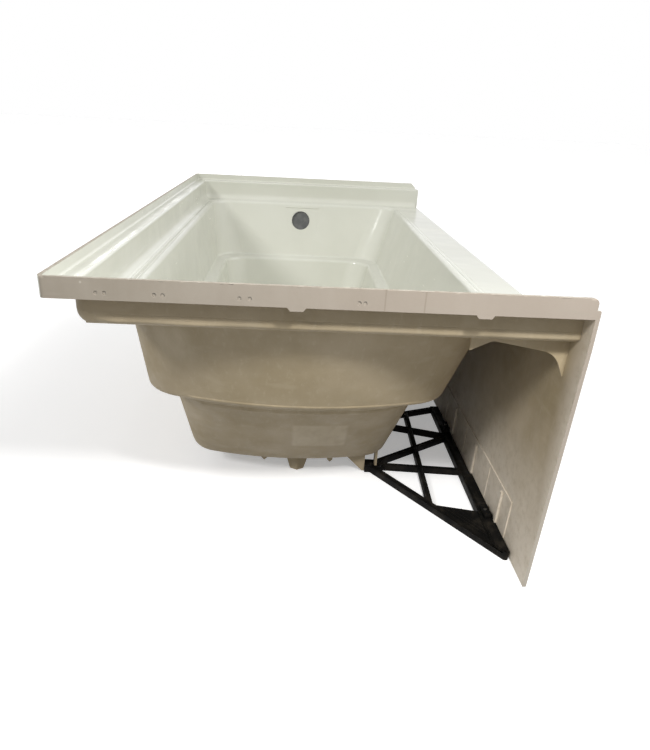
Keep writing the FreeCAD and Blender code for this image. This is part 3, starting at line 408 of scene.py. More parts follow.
@dataclass(frozen=True)
class FlangeFace(Finish):
    """The outer face of the tile flange, raw, with painted light that makes it rosier and lighter to the
    apron side and paler toward its foot.
    """

    name: str = "flange_face"
    body: Colour = (0.280, 0.244, 0.195)
    bloom: Colour = (0.322, 0.285, 0.234)
    cloud: Layer = Layer(9.0, 5.0, 0.6, (1.0, 1.0, 0.5), cut=(0.33, 0.67))
    gloss: Layer = Layer(40.0, 4.0, cut=(0.3, 0.7), to=(0.42, 0.62))
    relief: Relief = ((Layer(11.0), 0.0016), (Layer(240.0, 3.0, 0.6), 0.00012))
    ior: float = 1.45
    mark: Colour = (0.215, 0.180, 0.138)
    painted_rosy_light: Colour = (0.352, 0.296, 0.250)
    chalk_and_painted_light: Colour = (0.42, 0.38, 0.32)
    drag: Layer = Layer(34.0, 3.0, 0.6, (1.0, 1.0, 0.06), cut=(0.62, 0.76), to=(0.0, 0.2))
    scratch: Layer = Layer(90.0, 2.0, 0.5, (0.12, 0.12, 1.0), cut=(0.66, 0.74), to=(0.0, 0.4))
    painted_light_across: Pair = (0.34, -0.36)
    painted_light_share: float = 0.55
    painted_foot_light_heights: Pair = (0.36, 0.03)
    painted_foot_light_share: float = 0.9
    near: float = -0.762
    drills: tuple[float, ...] = (0.3048, 0.2930, 0.2271, 0.2156, 0.1135, 0.0994, -0.0484, -0.0564)
    drill_height: float = 0.475
    drill_highlight_rim: Pair = (0.0046, 0.0026)
    drill_highlight_share: float = 0.35
    dab: Pair = (0.3232, 0.4886)
    dab_rim: Pair = (0.0020, 0.0012)
    lines: tuple[float, ...] = (-0.0833, -0.1377)
    line_rim: Pair = (0.0014, 0.0007)
    line_share: float = 0.5

    def chalky(self, g: Graph) -> Socket:
        """Draw pale rims round the drill marks, which are painted highlights, and one dab of paint.

        Args:
            g: The finish's node tree.

        Returns:
            How much of the pale rims and of the dab shows at each place.
        """
        # painted highlights: pale rims round the drill marks, where light catches their edges
        aways = [g.away((self.near, across, self.drill_height)) for across in self.drills]
        rims = [g.remap(away, self.drill_highlight_rim, (0.0, self.drill_highlight_share)) for away in aways]
        return g.chain("MAXIMUM", [*rims, g.remap(g.away((self.near, *self.dab)), self.dab_rim)])

    def pencilled(self, g: Graph) -> Socket:
        """Two upright pencil lines."""
        aside = [g.sums("ABSOLUTE", g.sums("SUBTRACT", g.axis("Y"), across)) for across in self.lines]
        return g.chain("MAXIMUM", [g.remap(away, self.line_rim, (0.0, self.line_share)) for away in aside])

    def colour(self, g: Graph) -> Socket:
        """Lay painted light, upright drag lines, level scratches, the marks and the painted highlights over
        the pale raw face.

        Args:
            g: The finish's node tree.

        Returns:
            The colour.
        """
        # painted light: rosier and lighter toward the apron side, as if lit from that side
        painted_rosy_light = g.remap(g.axis("Y"), self.painted_light_across, (0.0, self.painted_light_share))
        # painted light: paler toward the foot, as if more light reached it there
        pale = g.remap(g.axis("Z"), self.painted_foot_light_heights, (0.0, self.painted_foot_light_share))
        return g.coats(super().colour(g), (painted_rosy_light, self.painted_rosy_light), (pale, self.chalk_and_painted_light),
                       (g.noise(self.drag), self.mark), (g.noise(self.scratch), self.bloom),
                       (self.pencilled(g), self.mark), (self.chalky(g), self.chalk_and_painted_light))


@dataclass(frozen=True)
class CutEdge(Finish):
    """A sawn or trimmed edge: chalky, with torn pale fibres over a darker core."""

    name: str = "cut_edge"
    body: Colour = (0.330, 0.290, 0.232)
    bloom: Colour = (0.440, 0.402, 0.340)
    cloud: Layer = Layer(160.0, 5.0, 0.7, (1.0, 0.5, 1.0), cut=(0.40, 0.62))
    gloss: float = 0.72
    relief: Relief = ((Layer(300.0, 4.0, 0.7), 0.0006),)


@dataclass(frozen=True)
class DuskyPlastic(Finish):
    """Black moulded plastic with a fine grain and a dusty brown bloom."""

    name: str = "dusky_plastic"
    body: Colour = (0.0060, 0.0058, 0.0054)
    bloom: Colour = (0.021, 0.018, 0.014)
    cloud: Layer = Layer(38.0, 5.0, 0.65, cut=(0.42, 0.70))
    gloss: Layer = Layer(55.0, 3.0, cut=(0.3, 0.7), to=(0.50, 0.70))
    relief: Relief = ((Layer(60.0), 0.0004), (Layer(900.0), 0.00006))
    ior: float = 1.16


@dataclass(frozen=True)
class BrightSteel(Finish):
    """Plated steel, turned and slightly scuffed."""

    name: str = "bright_steel"
    body: Colour = (0.66, 0.64, 0.60)
    bloom: Colour = (0.40, 0.38, 0.35)
    cloud: Layer = Layer(420.0, 3.0, cut=(0.5, 0.7), to=(0.0, 0.7))
    gloss: Layer = Layer(900.0, cut=(0.3, 0.7), to=(0.22, 0.42))
    relief: Relief = ((Layer(1500.0), 0.00003),)
    metal: float = 1.0


@dataclass(frozen=True)
class PaintedHoleShade(Finish):
    """A dull grey disc that closes the overflow bore from behind: painted shade for the dark room seen
    through the bore, cloudy and faintly creased.
    """

    name: str = "painted_hole_shade_finish"
    body: Colour = (0.105, 0.107, 0.107)
    bloom: Colour = (0.140, 0.142, 0.140)
    cloud: Layer = Layer(45.0, 3.0, cut=(0.35, 0.65))
    gloss: float = 0.8
    relief: Relief = ((Layer(120.0, 3.0), 0.0003),)


@dataclass(frozen=True)
class FloorFinish:
    """Plain pale floor that the camera sees as white wherever nothing shades it."""

    name: str = "studio_floor"
    paint: Colour = (0.36, 0.36, 0.36)
    seen: Colour = (0.86, 0.86, 0.86)
    cloud: Layer = Layer(2.0, 3.0, cut=(0.3, 0.7), to=(0.985, 1.0))
    glow: Colour = (1.0, 1.0, 1.0)
    lift: float = 0.33

    def material(self) -> Material:
        """Matt paint, with a white lift for camera and mirror rays only.

        Returns:
            The material.
        """
        g = Graph(bpy.data.materials.new(self.name))
        seen = g.seen()
        paint = g.mix(1.0, g.mix(seen, self.paint, self.seen), g.noise(self.cloud), "MULTIPLY")
        diffuse = g.node("BsdfDiffuse", {"Color": paint})
        lit = g.sums("MULTIPLY", seen, self.lift)
        lift = g.node("Emission", {"Color": self.glow, "Strength": lit})
        both = g.node("AddShader", {0: diffuse.outputs[0], 1: lift.outputs[0]})
        return g.close(both, "OutputMaterial")


@dataclass(frozen=True)
class Finishes:
    """Every finish of the object, each made once."""

    skin: Material = field(default_factory=GlossSkin().material)
    back: Material = field(default_factory=MouldBack().material)
    apron_back: Material = field(default_factory=ApronBack().material)
    face: Material = field(default_factory=FlangeFace().material)
    edge: Material = field(default_factory=CutEdge().material)
    plastic: Material = field(default_factory=DuskyPlastic().material)
    steel: Material = field(default_factory=BrightSteel().material)
    painted_hole_shade: Material = field(default_factory=PaintedHoleShade().material)


# ---- mesh helpers


def copy_of(node: Piece) -> Surface:
    """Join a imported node's triangles into one surface.

    Args:
        node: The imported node.

    Returns:
        The surface, each face numbered by the triangle that it comes from.
    """
    made = bmesh.new()
    made.from_mesh(node.data)
    layer = made.faces.layers.int.new(SOURCE)
    made.faces.ensure_lookup_table()
    for face in made.faces:
        face[layer] = face.index
    bmesh.ops.remove_doubles(made, verts=made.verts[:], dist=JOINED_WITHIN)
    return made


def mesh_from(made: Surface, name: str) -> Mesh:
    """Write a surface into a new mesh and free it.

    Args:
        made: The surface.
        name: The mesh's name.

    Returns:
        The mesh.
    """
    mesh = bpy.data.meshes.new(name)
    made.to_mesh(mesh)
    made.free()
    return mesh


def smooth(mesh: Mesh, degrees: float) -> Mesh:
    """Shade a mesh smooth, but for its sharp edges.

    Args:
        mesh: The mesh.
        degrees: Edges that turn by more than this stay sharp.

    Returns:
        The same mesh.
    """
    mesh.polygons.foreach_set("use_smooth", [True] * len(mesh.polygons))
    mesh.set_sharp_from_angle(angle=math.radians(degrees))
    return mesh


def clamp_step(value: float, start: float, end: float) -> float:
    """Rise softly from 0 at the start to 1 at the end."""
    share = min(max((value - start) / (end - start), 0.0), 1.0)
    return share * share * (3.0 - 2.0 * share)


def bounds_of(points: np.ndarray) -> tuple[np.ndarray, np.ndarray]:
    """The lowest and the highest corner of some points."""
    return points.min(axis=0), points.max(axis=0)


def points_of(node: Piece) -> np.ndarray:
    """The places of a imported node's points."""
    return np.array([vertex.co[:] for vertex in node.data.vertices])


def corner_arrays(mesh: Mesh) -> tuple[np.ndarray, np.ndarray]:
    """The places and the surface directions of a triangle mesh's corners.

    Args:
        mesh: A mesh of triangles only.

    Returns:
        Two arrays of triangles by corners by coordinates.
    """
    places = np.empty(len(mesh.vertices) * 3)
    mesh.vertices.foreach_get("co", places)
    points = np.empty(len(mesh.loops), dtype=int)
    mesh.loops.foreach_get("vertex_index", points)
    ways = np.empty(len(mesh.loops) * 3)
    mesh.corner_normals.foreach_get("vector", ways)
    return places.reshape(-1, 3)[points].reshape(-1, 3, 3), ways.reshape(-1, 3, 3)


def carry_normals(mesh: Mesh, source: Mesh, bent: np.ndarray) -> None:
    """Give a divided copy the smooth surface directions of the triangles that it comes from.

    Args:
        mesh: The divided copy, of triangles only, each numbered by its source triangle.
        source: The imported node's mesh.
        bent: True for each face that was reshaped, which keeps its own direction.
    """
    numbers = np.empty(len(mesh.polygons), dtype=np.int32)
    mesh.attributes[SOURCE].data.foreach_get("value", numbers)
    places, own = corner_arrays(mesh)
    old_places, old_ways = corner_arrays(source)
    a, b, c = (old_places[numbers, i][:, None, :] for i in range(3))
    whole = np.cross(b - a, c - a)
    area = np.maximum((whole**2).sum(-1), 1e-24)
    u = (np.cross(b - places, c - places) * whole).sum(-1) / area
    v = (np.cross(c - places, a - places) * whole).sum(-1) / area
    weights = np.stack([u, v, 1.0 - u - v], axis=-1)
    ways = np.einsum("fck,fkd->fcd", np.clip(weights, 0.0, 1.0), old_ways[numbers])
    ways /= np.maximum(np.linalg.norm(ways, axis=-1, keepdims=True), 1e-9)
    ways[bent] = own[bent]
    mesh.normals_split_custom_set(ways.reshape(-1, 3).tolist())


def triangulate(made: Surface) -> None:
    """Cut every face with more than three corners into triangles."""
    bmesh.ops.triangulate(made, faces=[face for face in made.faces if len(face.verts) > 3])


def round_edges(made: Surface, radius: float) -> None:
    """Round the sharp edges of a surface.

    Args:
        made: The surface.
        radius: How wide the rounding is.
    """
    sharp = [edge for edge in made.edges
             if edge.is_manifold and edge.calc_face_angle(0.0) > math.radians(CORNER_DEGREES)]
    bmesh.ops.bevel(made, geom=sharp, offset=radius, segments=2, profile=0.5, affect="EDGES",
                    clamp_overlap=True)


def divide(made: Surface, longest: float, inside: Callable[[Vector], bool]) -> None:
    """Split the long edges of one zone, half by half.

    Args:
        made: The surface.
        longest: Edges up to this long stay whole.
        inside: Says of a point whether it lies in the zone.
    """
    for _ in range(DIVIDE_ROUNDS):
        long = [edge for edge in made.edges if edge.calc_length() > longest]
        ends = [(edge, edge.verts[0].co, edge.verts[1].co) for edge in long]
        edges = [edge for edge, first, second in ends
                 if inside(first) or inside(second) or inside((first + second) / 2)]
        bmesh.ops.subdivide_edges(made, edges=edges, cuts=1)
        triangulate(made)


def grid_mesh(name: str, rows: list[list[Vector | None]]) -> Mesh:
    """Join rows of points into a sheet, leaving out the cells with a missing corner.

    Args:
        name: The mesh's name.
        rows: The points, row by row.

    Returns:
        The mesh.
    """
    made = bmesh.new()
    dots = [[made.verts.new(point) if point is not None else None for point in row] for row in rows]
    for low, high in zip(dots, dots[1:]):
        for i in range(len(low) - 1):
            corners = [low[i], low[i + 1], high[i + 1], high[i]]
            if all(corner is not None for corner in corners):
                made.faces.new(corners)
    bmesh.ops.delete(made, geom=[v for v in made.verts if not v.link_faces], context="VERTS")
    return smooth(mesh_from(made, name), SWEPT_DEGREES)


def ribbon(name: str, stations: list[Station], profile: Profile, half_width: float,
           proud: float) -> Mesh:
    """Sweep an open profile along a surface, such as a moulded line or a soft roll.

    Args:
        name: The mesh's name.
        stations: Along the path, the point, the ways across and up, and how much of the height stays.
        profile: Shares of the half width and of the height, lowest at its ends.
        half_width: Half of its width.
        proud: How far it stands off the surface.

    Returns:
        The mesh.
    """
    foot = profile[0][1]
    rows = [[point + across * (half_width * x) + up * (proud * (y * rise + foot * (1.0 - rise)))
             for x, y in profile] for point, across, up, rise in stations]
    return grid_mesh(name, rows)


def ribs(name: str, lines: list[tuple[Vector, Vector]], half_width: float, proud: float) -> Mesh:
    """Low upright ribs along straight lines on level faces, as one mesh.

    Args:
        name: The mesh's name.
        lines: The two ends of each rib.
        half_width: Half of a rib's width.
        proud: How far a rib stands up.

    Returns:
        The mesh.
    """
    rises = ((0.0, 0.0), (0.02, 0.8), (0.06, 1.0), (0.94, 1.0), (0.98, 0.8), (1.0, 0.0))
    made = bmesh.new()
    for start, end in lines:
        across = (end - start).normalized().cross(UP)
        stations = [(start.lerp(end, share), across, UP, rise) for share, rise in rises]
        single = ribbon(name, stations, RIDGE, half_width, proud)
        made.from_mesh(single)
        bpy.data.meshes.remove(single)
    return smooth(mesh_from(made, name), SWEPT_DEGREES)


def ring(made: Surface, middle: Vector, radii: list[float], height: float) -> Ring:
    """Add a level ring of points.

    Args:
        made: The surface.
        middle: The ring's middle, at height 0.
        radii: Its radius at each step of the turn.
        height: How high it lies.

    Returns:
        The points.
    """
    turns = [math.tau * i / len(radii) for i in range(len(radii))]
    return [made.verts.new(middle + Vector((radius * math.cos(turn), radius * math.sin(turn), height)))
            for radius, turn in zip(radii, turns)]


def bridge(made: Surface, low: Ring, high: Ring) -> None:
    """Join two rings with faces, which are triangles where one ring is a single point.

    Args:
        made: The surface.
        low: The first ring.
        high: The second ring.
    """
    for i in range(len(low)):
        after = (i + 1) % len(low)
        corners = list(dict.fromkeys([low[i], low[after], high[after], high[i]]))
        if len(corners) > 2:
            made.faces.new(corners)


# ---- sub-assemblies


@dataclass
class SubAssembly:
    """What the sub-assemblies share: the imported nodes, the finishes and the pieces made so far."""

    nodes: dict[str, Piece]
    finishes: Finishes
    pieces: list[Piece] = field(default_factory=list)

    def put(self, mesh: Mesh, materials: list[Material], slot: str, *replaced: str) -> None:
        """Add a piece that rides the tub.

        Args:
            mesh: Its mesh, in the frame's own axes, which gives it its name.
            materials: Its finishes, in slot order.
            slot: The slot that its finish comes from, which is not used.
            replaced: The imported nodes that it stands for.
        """
        for material in materials:
            mesh.materials.append(material)
        piece = bpy.data.objects.new(mesh.name, mesh)
        bpy.context.scene.collection.objects.link(piece)
        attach(piece, BODY)
        if replaced:
            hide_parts(*replaced)
        self.pieces.append(piece)


class Side(IntEnum):
    """The finish that a face of a moulding takes."""

    SKIN = 0
    BACK = 1
    FACE = 2
    EDGE = 3


@dataclass
class Shell(SubAssembly):
    """The moulded basin with its deck, ledge and tile flange."""

    node: str = "tub_shell"
    half_length: float = 0.762
    half_width: float = 0.381
    top: float = 0.495
    deck: float = 0.422
    level_within: float = 0.0004
    strip: Pair = (0.0075, 0.006)
    worn_depth: float = 0.0012
    edge_wear: float = 0.0007
    teeth_waves: Point = (60.0, 75.0, 3.0)
    chip: float = 0.0007
    chip_waves: Point = (90.0, 160.0, 9.0)
    chip_range: Pair = (0.42, 0.3)
    divide_over: float = 0.007
    trim_depth: float = 0.004
    face_depth: float = 0.0012
    mark_depth: float = 0.0017
    marks_over: float = 0.466
    look_off: float = 0.0006
    roll_middle: Pair = (-0.7273, 0.4284)
    roll_out: Pair = (-0.90, -0.436)
    roll_ends: Pair = (0.335, -0.3745)
    roll_taper: Pair = (-0.01, 0.05)
    roll_wave: Pair = (0.18, 14.0)
    roll_size: Pair = (0.0120, 0.0045)
    roll_steps: int = 150
    mouth_middle: Pair = (0.0, 0.02)
    bead_off: float = 0.0064
    bead_size: Pair = (0.0058, 0.0010)
    bead_steps: int = 360
    collar_ends: Pair = (0.225, -0.225)
    collar_taper: float = 0.03
    collar_steps: int = 160
    collar_lean: Pair = (0.9, -0.436)
    collar_wave: Point = (0.85, 0.5, 40.0)
    rim_height: float = 0.2550
    rim_size: Pair = (0.0036, 0.0011)
    collar_height: float = 0.2190
    collar_size: Pair = (0.0070, 0.0022)

    def roll(self) -> Mesh:
        """The soft roll along the foot of the near deck's upright face.

        Returns:
            The mesh.
        """
        (x, z), (out_x, out_z), (swell, waves) = self.roll_middle, self.roll_out, self.roll_wave
        across, out = Vector((-out_z, 0.0, out_x)), Vector((out_x, 0.0, out_z))
        stations = []
        for y in np.linspace(*self.roll_ends, self.roll_steps).tolist():
            wave = 1.0 + swell * noise.noise(Vector((y * waves, 2.0, 5.0)))
            rise = clamp_step(self.roll_ends[0] - y, *self.roll_taper) * wave
            stations.append((Vector((x, y, z)), across, out, rise))
        return ribbon("deck_roll", stations, SOFT_ROLL, *self.roll_size)

    def mouth(self, made: Surface) -> set[Point]:
        """The points of the edge where the flat deck drops into the basin.

        Args:
            made: The shell's surface.

        Returns:
            The points.
        """
        points = set()
        for edge in made.edges:
            uneven = max(abs(v.co.z - self.deck) for v in edge.verts) > self.level_within
            if uneven or len(edge.link_faces) != 2:
                continue
            flat, falling = sorted(edge.link_faces, key=lambda face: -face.normal.z)
            middle = (edge.verts[0].co + edge.verts[1].co) / 2
            lower = falling.calc_center_median()
            inward = (lower - middle).xy.dot(middle.xy - Vector(self.mouth_middle)) < 0.0
            if flat.normal.z > LEVEL > falling.normal.z and lower.z < self.deck and inward:
                points.update(v.co.to_tuple(5) for v in edge.verts)
        return points

    def rim_bead(self, made: Surface) -> Mesh:
        """Draw the two fine lines round the basin's mouth, on the deck just outside its edge.

        Args:
            made: The shell's surface.

        Returns:
            The mesh.
        """
        x0, y0 = self.mouth_middle
        turns = sorted((math.atan2(y - y0, x - x0), x, y) for x, y, _ in self.mouth(made))
        angles, across, along = (np.array(column) for column in zip(*turns))
        steps = np.linspace(-math.pi, math.pi, self.bead_steps + 1)
        xs = np.interp(steps, angles, across, period=math.tau)
        ys = np.interp(steps, angles, along, period=math.tau)
        stations = []
        for i in range(self.bead_steps + 1):
            before, after = (i - 1) % self.bead_steps, (i + 1) % self.bead_steps
            tangent = Vector((xs[after] - xs[before], ys[after] - ys[before], 0.0)).normalized()
            out = Vector((tangent.y, -tangent.x, 0.0))
            stations.append((Vector((xs[i], ys[i], self.deck)) + out * self.bead_off, out, UP, 1.0))
        return ribbon("rim_bead", stations, DOUBLE_RIDGE, *self.bead_size)

    def collar(self, tree: BVHTree, name: str, height: float, profile: Profile, size: Pair) -> Mesh:
        """A low moulded line round the near end, level all the way.

        Args:
            tree: The shell's faces, which it lies on.
            name: The mesh's name.
            height: How high it lies.
            profile: Its cross-section.
            size: Half of its width, and how far it stands off the wall.

        Returns:
            The mesh.
        """
        stations = []
        (first, last), (level, drop) = self.collar_ends, self.collar_lean
        least, swell, waves = self.collar_wave
        for y in np.linspace(first, last, self.collar_steps).tolist():
            hit, way, _, _ = tree.ray_cast(Vector((-1.0, y, height)), Vector((1.0, 0.0, 0.0)))
            if hit is None:
                continue
            out = Vector((way.x, way.y, 0.0)).normalized() * level + UP * drop
            across = (UP - out * out.z).normalized()
            wave = least + swell * noise.noise(Vector((y * waves, 7.0, height * 9.0)))
            rise = wave * clamp_step(min(first - y, y - last), 0.0, self.collar_taper)
            stations.append((hit, across, out, rise))
        return ribbon(name, stations, profile, *size)

    def on_strip(self, point: Vector, depth: float) -> bool:
        """True along the top of the near flange's strip, down to a depth."""
        return point.x < -self.half_length + self.strip[0] and point.z > self.top - depth

    def wear(self, made: Surface) -> set[int]:
        """Wear the near flange's trimmed edge.

        Args:
            made: The divided shell.

        Returns:
            The numbers of the vertices that moved.
        """
        moved = set()
        start, span = self.chip_range
        for vertex in made.verts:
            at = vertex.co
            if self.on_strip(at, self.worn_depth):
                tooth, nick = (noise.noise(Vector((at.x * across, at.y * along, place)))
                               for across, along, place in (self.teeth_waves, self.chip_waves))
                chipped = min(max(0.0, nick - start) / span, 1.0)
                at.z -= self.edge_wear * (0.5 + 0.5 * tooth) + self.chip * chipped
                moved.add(vertex.index)
        return moved

    def side_of(self, centre: Vector, way: Vector, tree: BVHTree) -> Side:
        """Tell which finish a face takes.

        Args:
            centre: The face's middle.
            way: The direction that it faces.
            tree: The shell's faces, to look for what lies above.

        Returns:
            The finish.
        """
        if way.z > 0.8 and centre.z > self.top - self.trim_depth:
            return Side.EDGE
        outermost = max(abs(centre.x) - self.half_length, centre.y - self.half_width)
        if outermost > -self.face_depth and (abs(way.x) > 0.5 or way.y > 0.5):
            return Side.FACE
        in_mark = centre.x < -self.half_length + self.mark_depth and centre.z > self.marks_over
        if in_mark and way.x < 0.3:
            return Side.FACE
        open_above = tree.ray_cast(centre + way * self.look_off, UP)[0] is None
        return Side.SKIN if open_above and way.z > -0.3 else Side.BACK

    def build(self) -> None:
        """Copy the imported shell, wear it, dress each side and lay the moulded lines on it."""
        node, skin, back = self.nodes[self.node], self.finishes.skin, self.finishes.back
        made = copy_of(node)
        tree = BVHTree.FromBMesh(made)
        made.normal_update()
        self.put(self.rim_bead(made), [skin], "shell")
        divide(made, self.divide_over, lambda point: self.on_strip(point, self.strip[1]))
        made.normal_update()
        made.verts.index_update()
        moved = self.wear(made)
        bent = np.array([any(v.index in moved for v in face.verts) for face in made.faces])
        for face in made.faces:
            face.material_index = int(self.side_of(face.calc_center_median(), face.normal, tree))
            face.smooth = True
        mesh = mesh_from(made, "shell")
        carry_normals(mesh, node.data, bent)
        self.put(self.roll(), [back], "shell")
        for name, height, profile, size in (("step_rim", self.rim_height, RIDGE, self.rim_size),
                                            ("well_collar", self.collar_height, BAND, self.collar_size)):
            self.put(self.collar(tree, name, height, profile, size), [back], "shell")
        self.put(mesh, [skin, back, self.finishes.face, self.finishes.edge], "shell", self.node)


@dataclass
class Apron(SubAssembly):
    """The front skirt with its ears, foot band and upright ribs."""

    node: str = "apron"
    half_length: float = 0.762
    end_depth: float = 0.004
    deck: float = 0.415
    ear_foot: float = 0.419
    foot: float = 0.004

    def side_of(self, centre: Vector, way: Vector) -> Side:
        """Tell which finish a face takes: the front is skin, the ends and the foot are bare.

        Args:
            centre: The face's middle.
            way: The direction that it faces.

        Returns:
            The finish.
        """
        if way.y < -0.35 or (way.z > 0.3 and centre.z > self.deck):
            return Side.SKIN
        if centre.z > self.ear_foot and way.x * centre.x < -0.3:
            return Side.SKIN
        if abs(way.x) > 0.7 and abs(centre.x) > self.half_length - self.end_depth:
            return Side.FACE
        if abs(way.z) > 0.8 and centre.z < self.foot:
            return Side.EDGE
        return Side.BACK

    def build(self) -> None:
        """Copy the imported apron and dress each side."""
        node, finishes = self.nodes[self.node], self.finishes
        made = copy_of(node)
        made.normal_update()
        for face in made.faces:
            face.material_index = int(self.side_of(face.calc_center_median(), face.normal))
            face.smooth = True
        mesh = mesh_from(made, "apron_skirt")
        carry_normals(mesh, node.data, np.zeros(len(mesh.polygons), dtype=bool))
        sides = [finishes.skin, finishes.apron_back, finishes.face, finishes.edge]
        self.put(mesh, sides, "apron", self.node)


@dataclass
class FloorFrames(SubAssembly):
    """The black frames on the floor, their clips and the clips' screws."""

    frames: tuple[str, ...] = ("lattice_frame_near", "lattice_frame_far", "corner_brace_near",
                               "corner_brace_far")
    clips: tuple[str, ...] = ("rail_clip_1", "rail_clip_2", "rail_clip_3", "rail_clip_4")
    screw_node: str = "clip_screws"
    edge_radius: float = 0.0008
    clip_edge_radius: float = 0.0004
    border: float = 0.0024
    panel_sink: float = 0.0009
    plate: tuple[Point, ...] = ((-0.6489, -0.3365, 0.012), (-0.5339, -0.2559, 0.012),
                                (-0.5520, -0.3365, 0.012))
    plate_ribs: tuple[float, ...] = (0.14, 0.30, 0.46, 0.62)
    rail_line: tuple[Point, ...] = ((-0.676, -0.3405, 0.016), (-0.416, -0.3405, 0.016))
    rib_size: Pair = (0.0012, 0.0013)
    tooth_steps: tuple[float, ...] = (-0.0170, -0.0130, -0.0090, 0.0090, 0.0130, 0.0170)
    tooth_size: Pair = (0.0011, 0.0016)
    tooth_inset: float = 0.001
    screw_head: Pair = (0.0030, 0.0018)
    screw_shank: float = 0.0015
    screw_reach: float = 0.02
    screw_steps: int = 32
    head_profile: tuple[Pair, ...] = ((0.93, 1.0), (1.0, 0.75), (0.96, 0.35), (0.80, 0.1), (0.58, 0.0))
    cross_arm: float = 0.50
    cross_waist: float = 0.20
    cross_depth: float = 0.6

    def softened(self, name: str, radius: float, panelled: bool) -> Mesh:
        """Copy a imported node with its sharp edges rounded, as moulded plastic has them.

        Args:
            name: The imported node's name.
            radius: The rounding.
            panelled: True to sink the top faces between narrow borders.

        Returns:
            The mesh.
        """
        made = copy_of(self.nodes[name])
        round_edges(made, radius)
        if panelled:
            made.normal_update()
            tops = [face for face in made.faces if face.normal.z > LEVEL]
            for width, sink in ((self.border, 0.0), (self.border / 4, self.panel_sink)):
                bmesh.ops.inset_region(made, faces=tops, thickness=width, depth=-sink, use_even_offset=True)
        return smooth(mesh_from(made, "moulded_" + name), CORNER_DEGREES)

    def brace_ribs(self, side: float, end: str) -> Mesh:
        """Lay the ribs on one corner brace.

        Args:
            side: 1 for the near end, -1 for the far end.
            end: The end's name.

        Returns:
            The mesh.
        """
        first, second, corner, *rail = (Vector((x * side, y, z)) for x, y, z in self.plate + self.rail_line)
        lines = [(first.lerp(corner, share), second.lerp(corner, share)) for share in self.plate_ribs]
        return ribs("brace_ribs_" + end, [*lines, tuple(rail)], *self.rib_size)

    def teeth(self, name: str) -> Mesh:
        """Lay the gripping teeth across one clip's top, on both sides of its screw.

        Args:
            name: The clip's name.

        Returns:
            The mesh.
        """
        low, high = bounds_of(points_of(self.nodes[name]))
        ends = (low[1] + self.tooth_inset, high[1] - self.tooth_inset)
        middle = (low[0] + high[0]) / 2
        lines = [tuple(Vector((middle + step, y, high[2])) for y in ends) for step in self.tooth_steps]
        return ribs("teeth_" + name, lines, *self.tooth_size)

    def screw(self, made: Surface, low: np.ndarray, high: np.ndarray) -> None:
        """Turn one pan-head screw with a cross recess.

        Args:
            made: The surface that it is added to.
            low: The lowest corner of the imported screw.
            high: Its highest corner.
        """
        radius, height = self.screw_head
        middle = Vector(((low[0] + high[0]) / 2, (low[1] + high[1]) / 2, 0.0))
        profile = [(self.screw_shank, low[2]), (self.screw_shank, high[2] - height)]
        profile += [(radius * share, high[2] - height * drop) for share, drop in self.head_profile]
        rings = [ring(made, middle, [reach] * self.screw_steps, level) for reach, level in profile]
        for under, over in zip(rings, rings[1:]):
            bridge(made, under, over)
        made.faces.new(rings[0][::-1])
        cross = [radius * (self.cross_arm if i % 8 in (0, 1, 7) else self.cross_waist)
                 for i in range(self.screw_steps)]
        mouth = ring(made, middle, cross, high[2])
        bridge(made, rings[-1], mouth)
        foot = ring(made, middle, cross, high[2] - height * self.cross_depth)
        bridge(made, mouth, foot)
        made.faces.new(foot)

    def screws(self) -> Mesh:
        """Turn a screw where each imported screw stands.

        Returns:
            The mesh of all of them.
        """
        points = points_of(self.nodes[self.screw_node])
        made = bmesh.new()
        for side in sorted({round(float(x), 2) for x in points[:, 0]}):
            self.screw(made, *bounds_of(points[np.abs(points[:, 0] - side) < self.screw_reach]))
        bmesh.ops.recalc_face_normals(made, faces=made.faces[:])
        return smooth(mesh_from(made, "pan_screws"), TURNED_DEGREES)

    def build(self) -> None:
        """Build every frame, clip and screw."""
        black = [self.finishes.plastic]
        for name in self.frames:
            self.put(self.softened(name, self.edge_radius, True), black, "frame", name)
        for name in self.clips:
            self.put(self.softened(name, self.clip_edge_radius, False), black, "clip", name)
            self.put(self.teeth(name), black, "clip")
        for side, end in ((1.0, "near"), (-1.0, "far")):
            self.put(self.brace_ribs(side, end), black, "frame")
        self.put(self.screws(), [self.finishes.steel], "screw", self.screw_node)


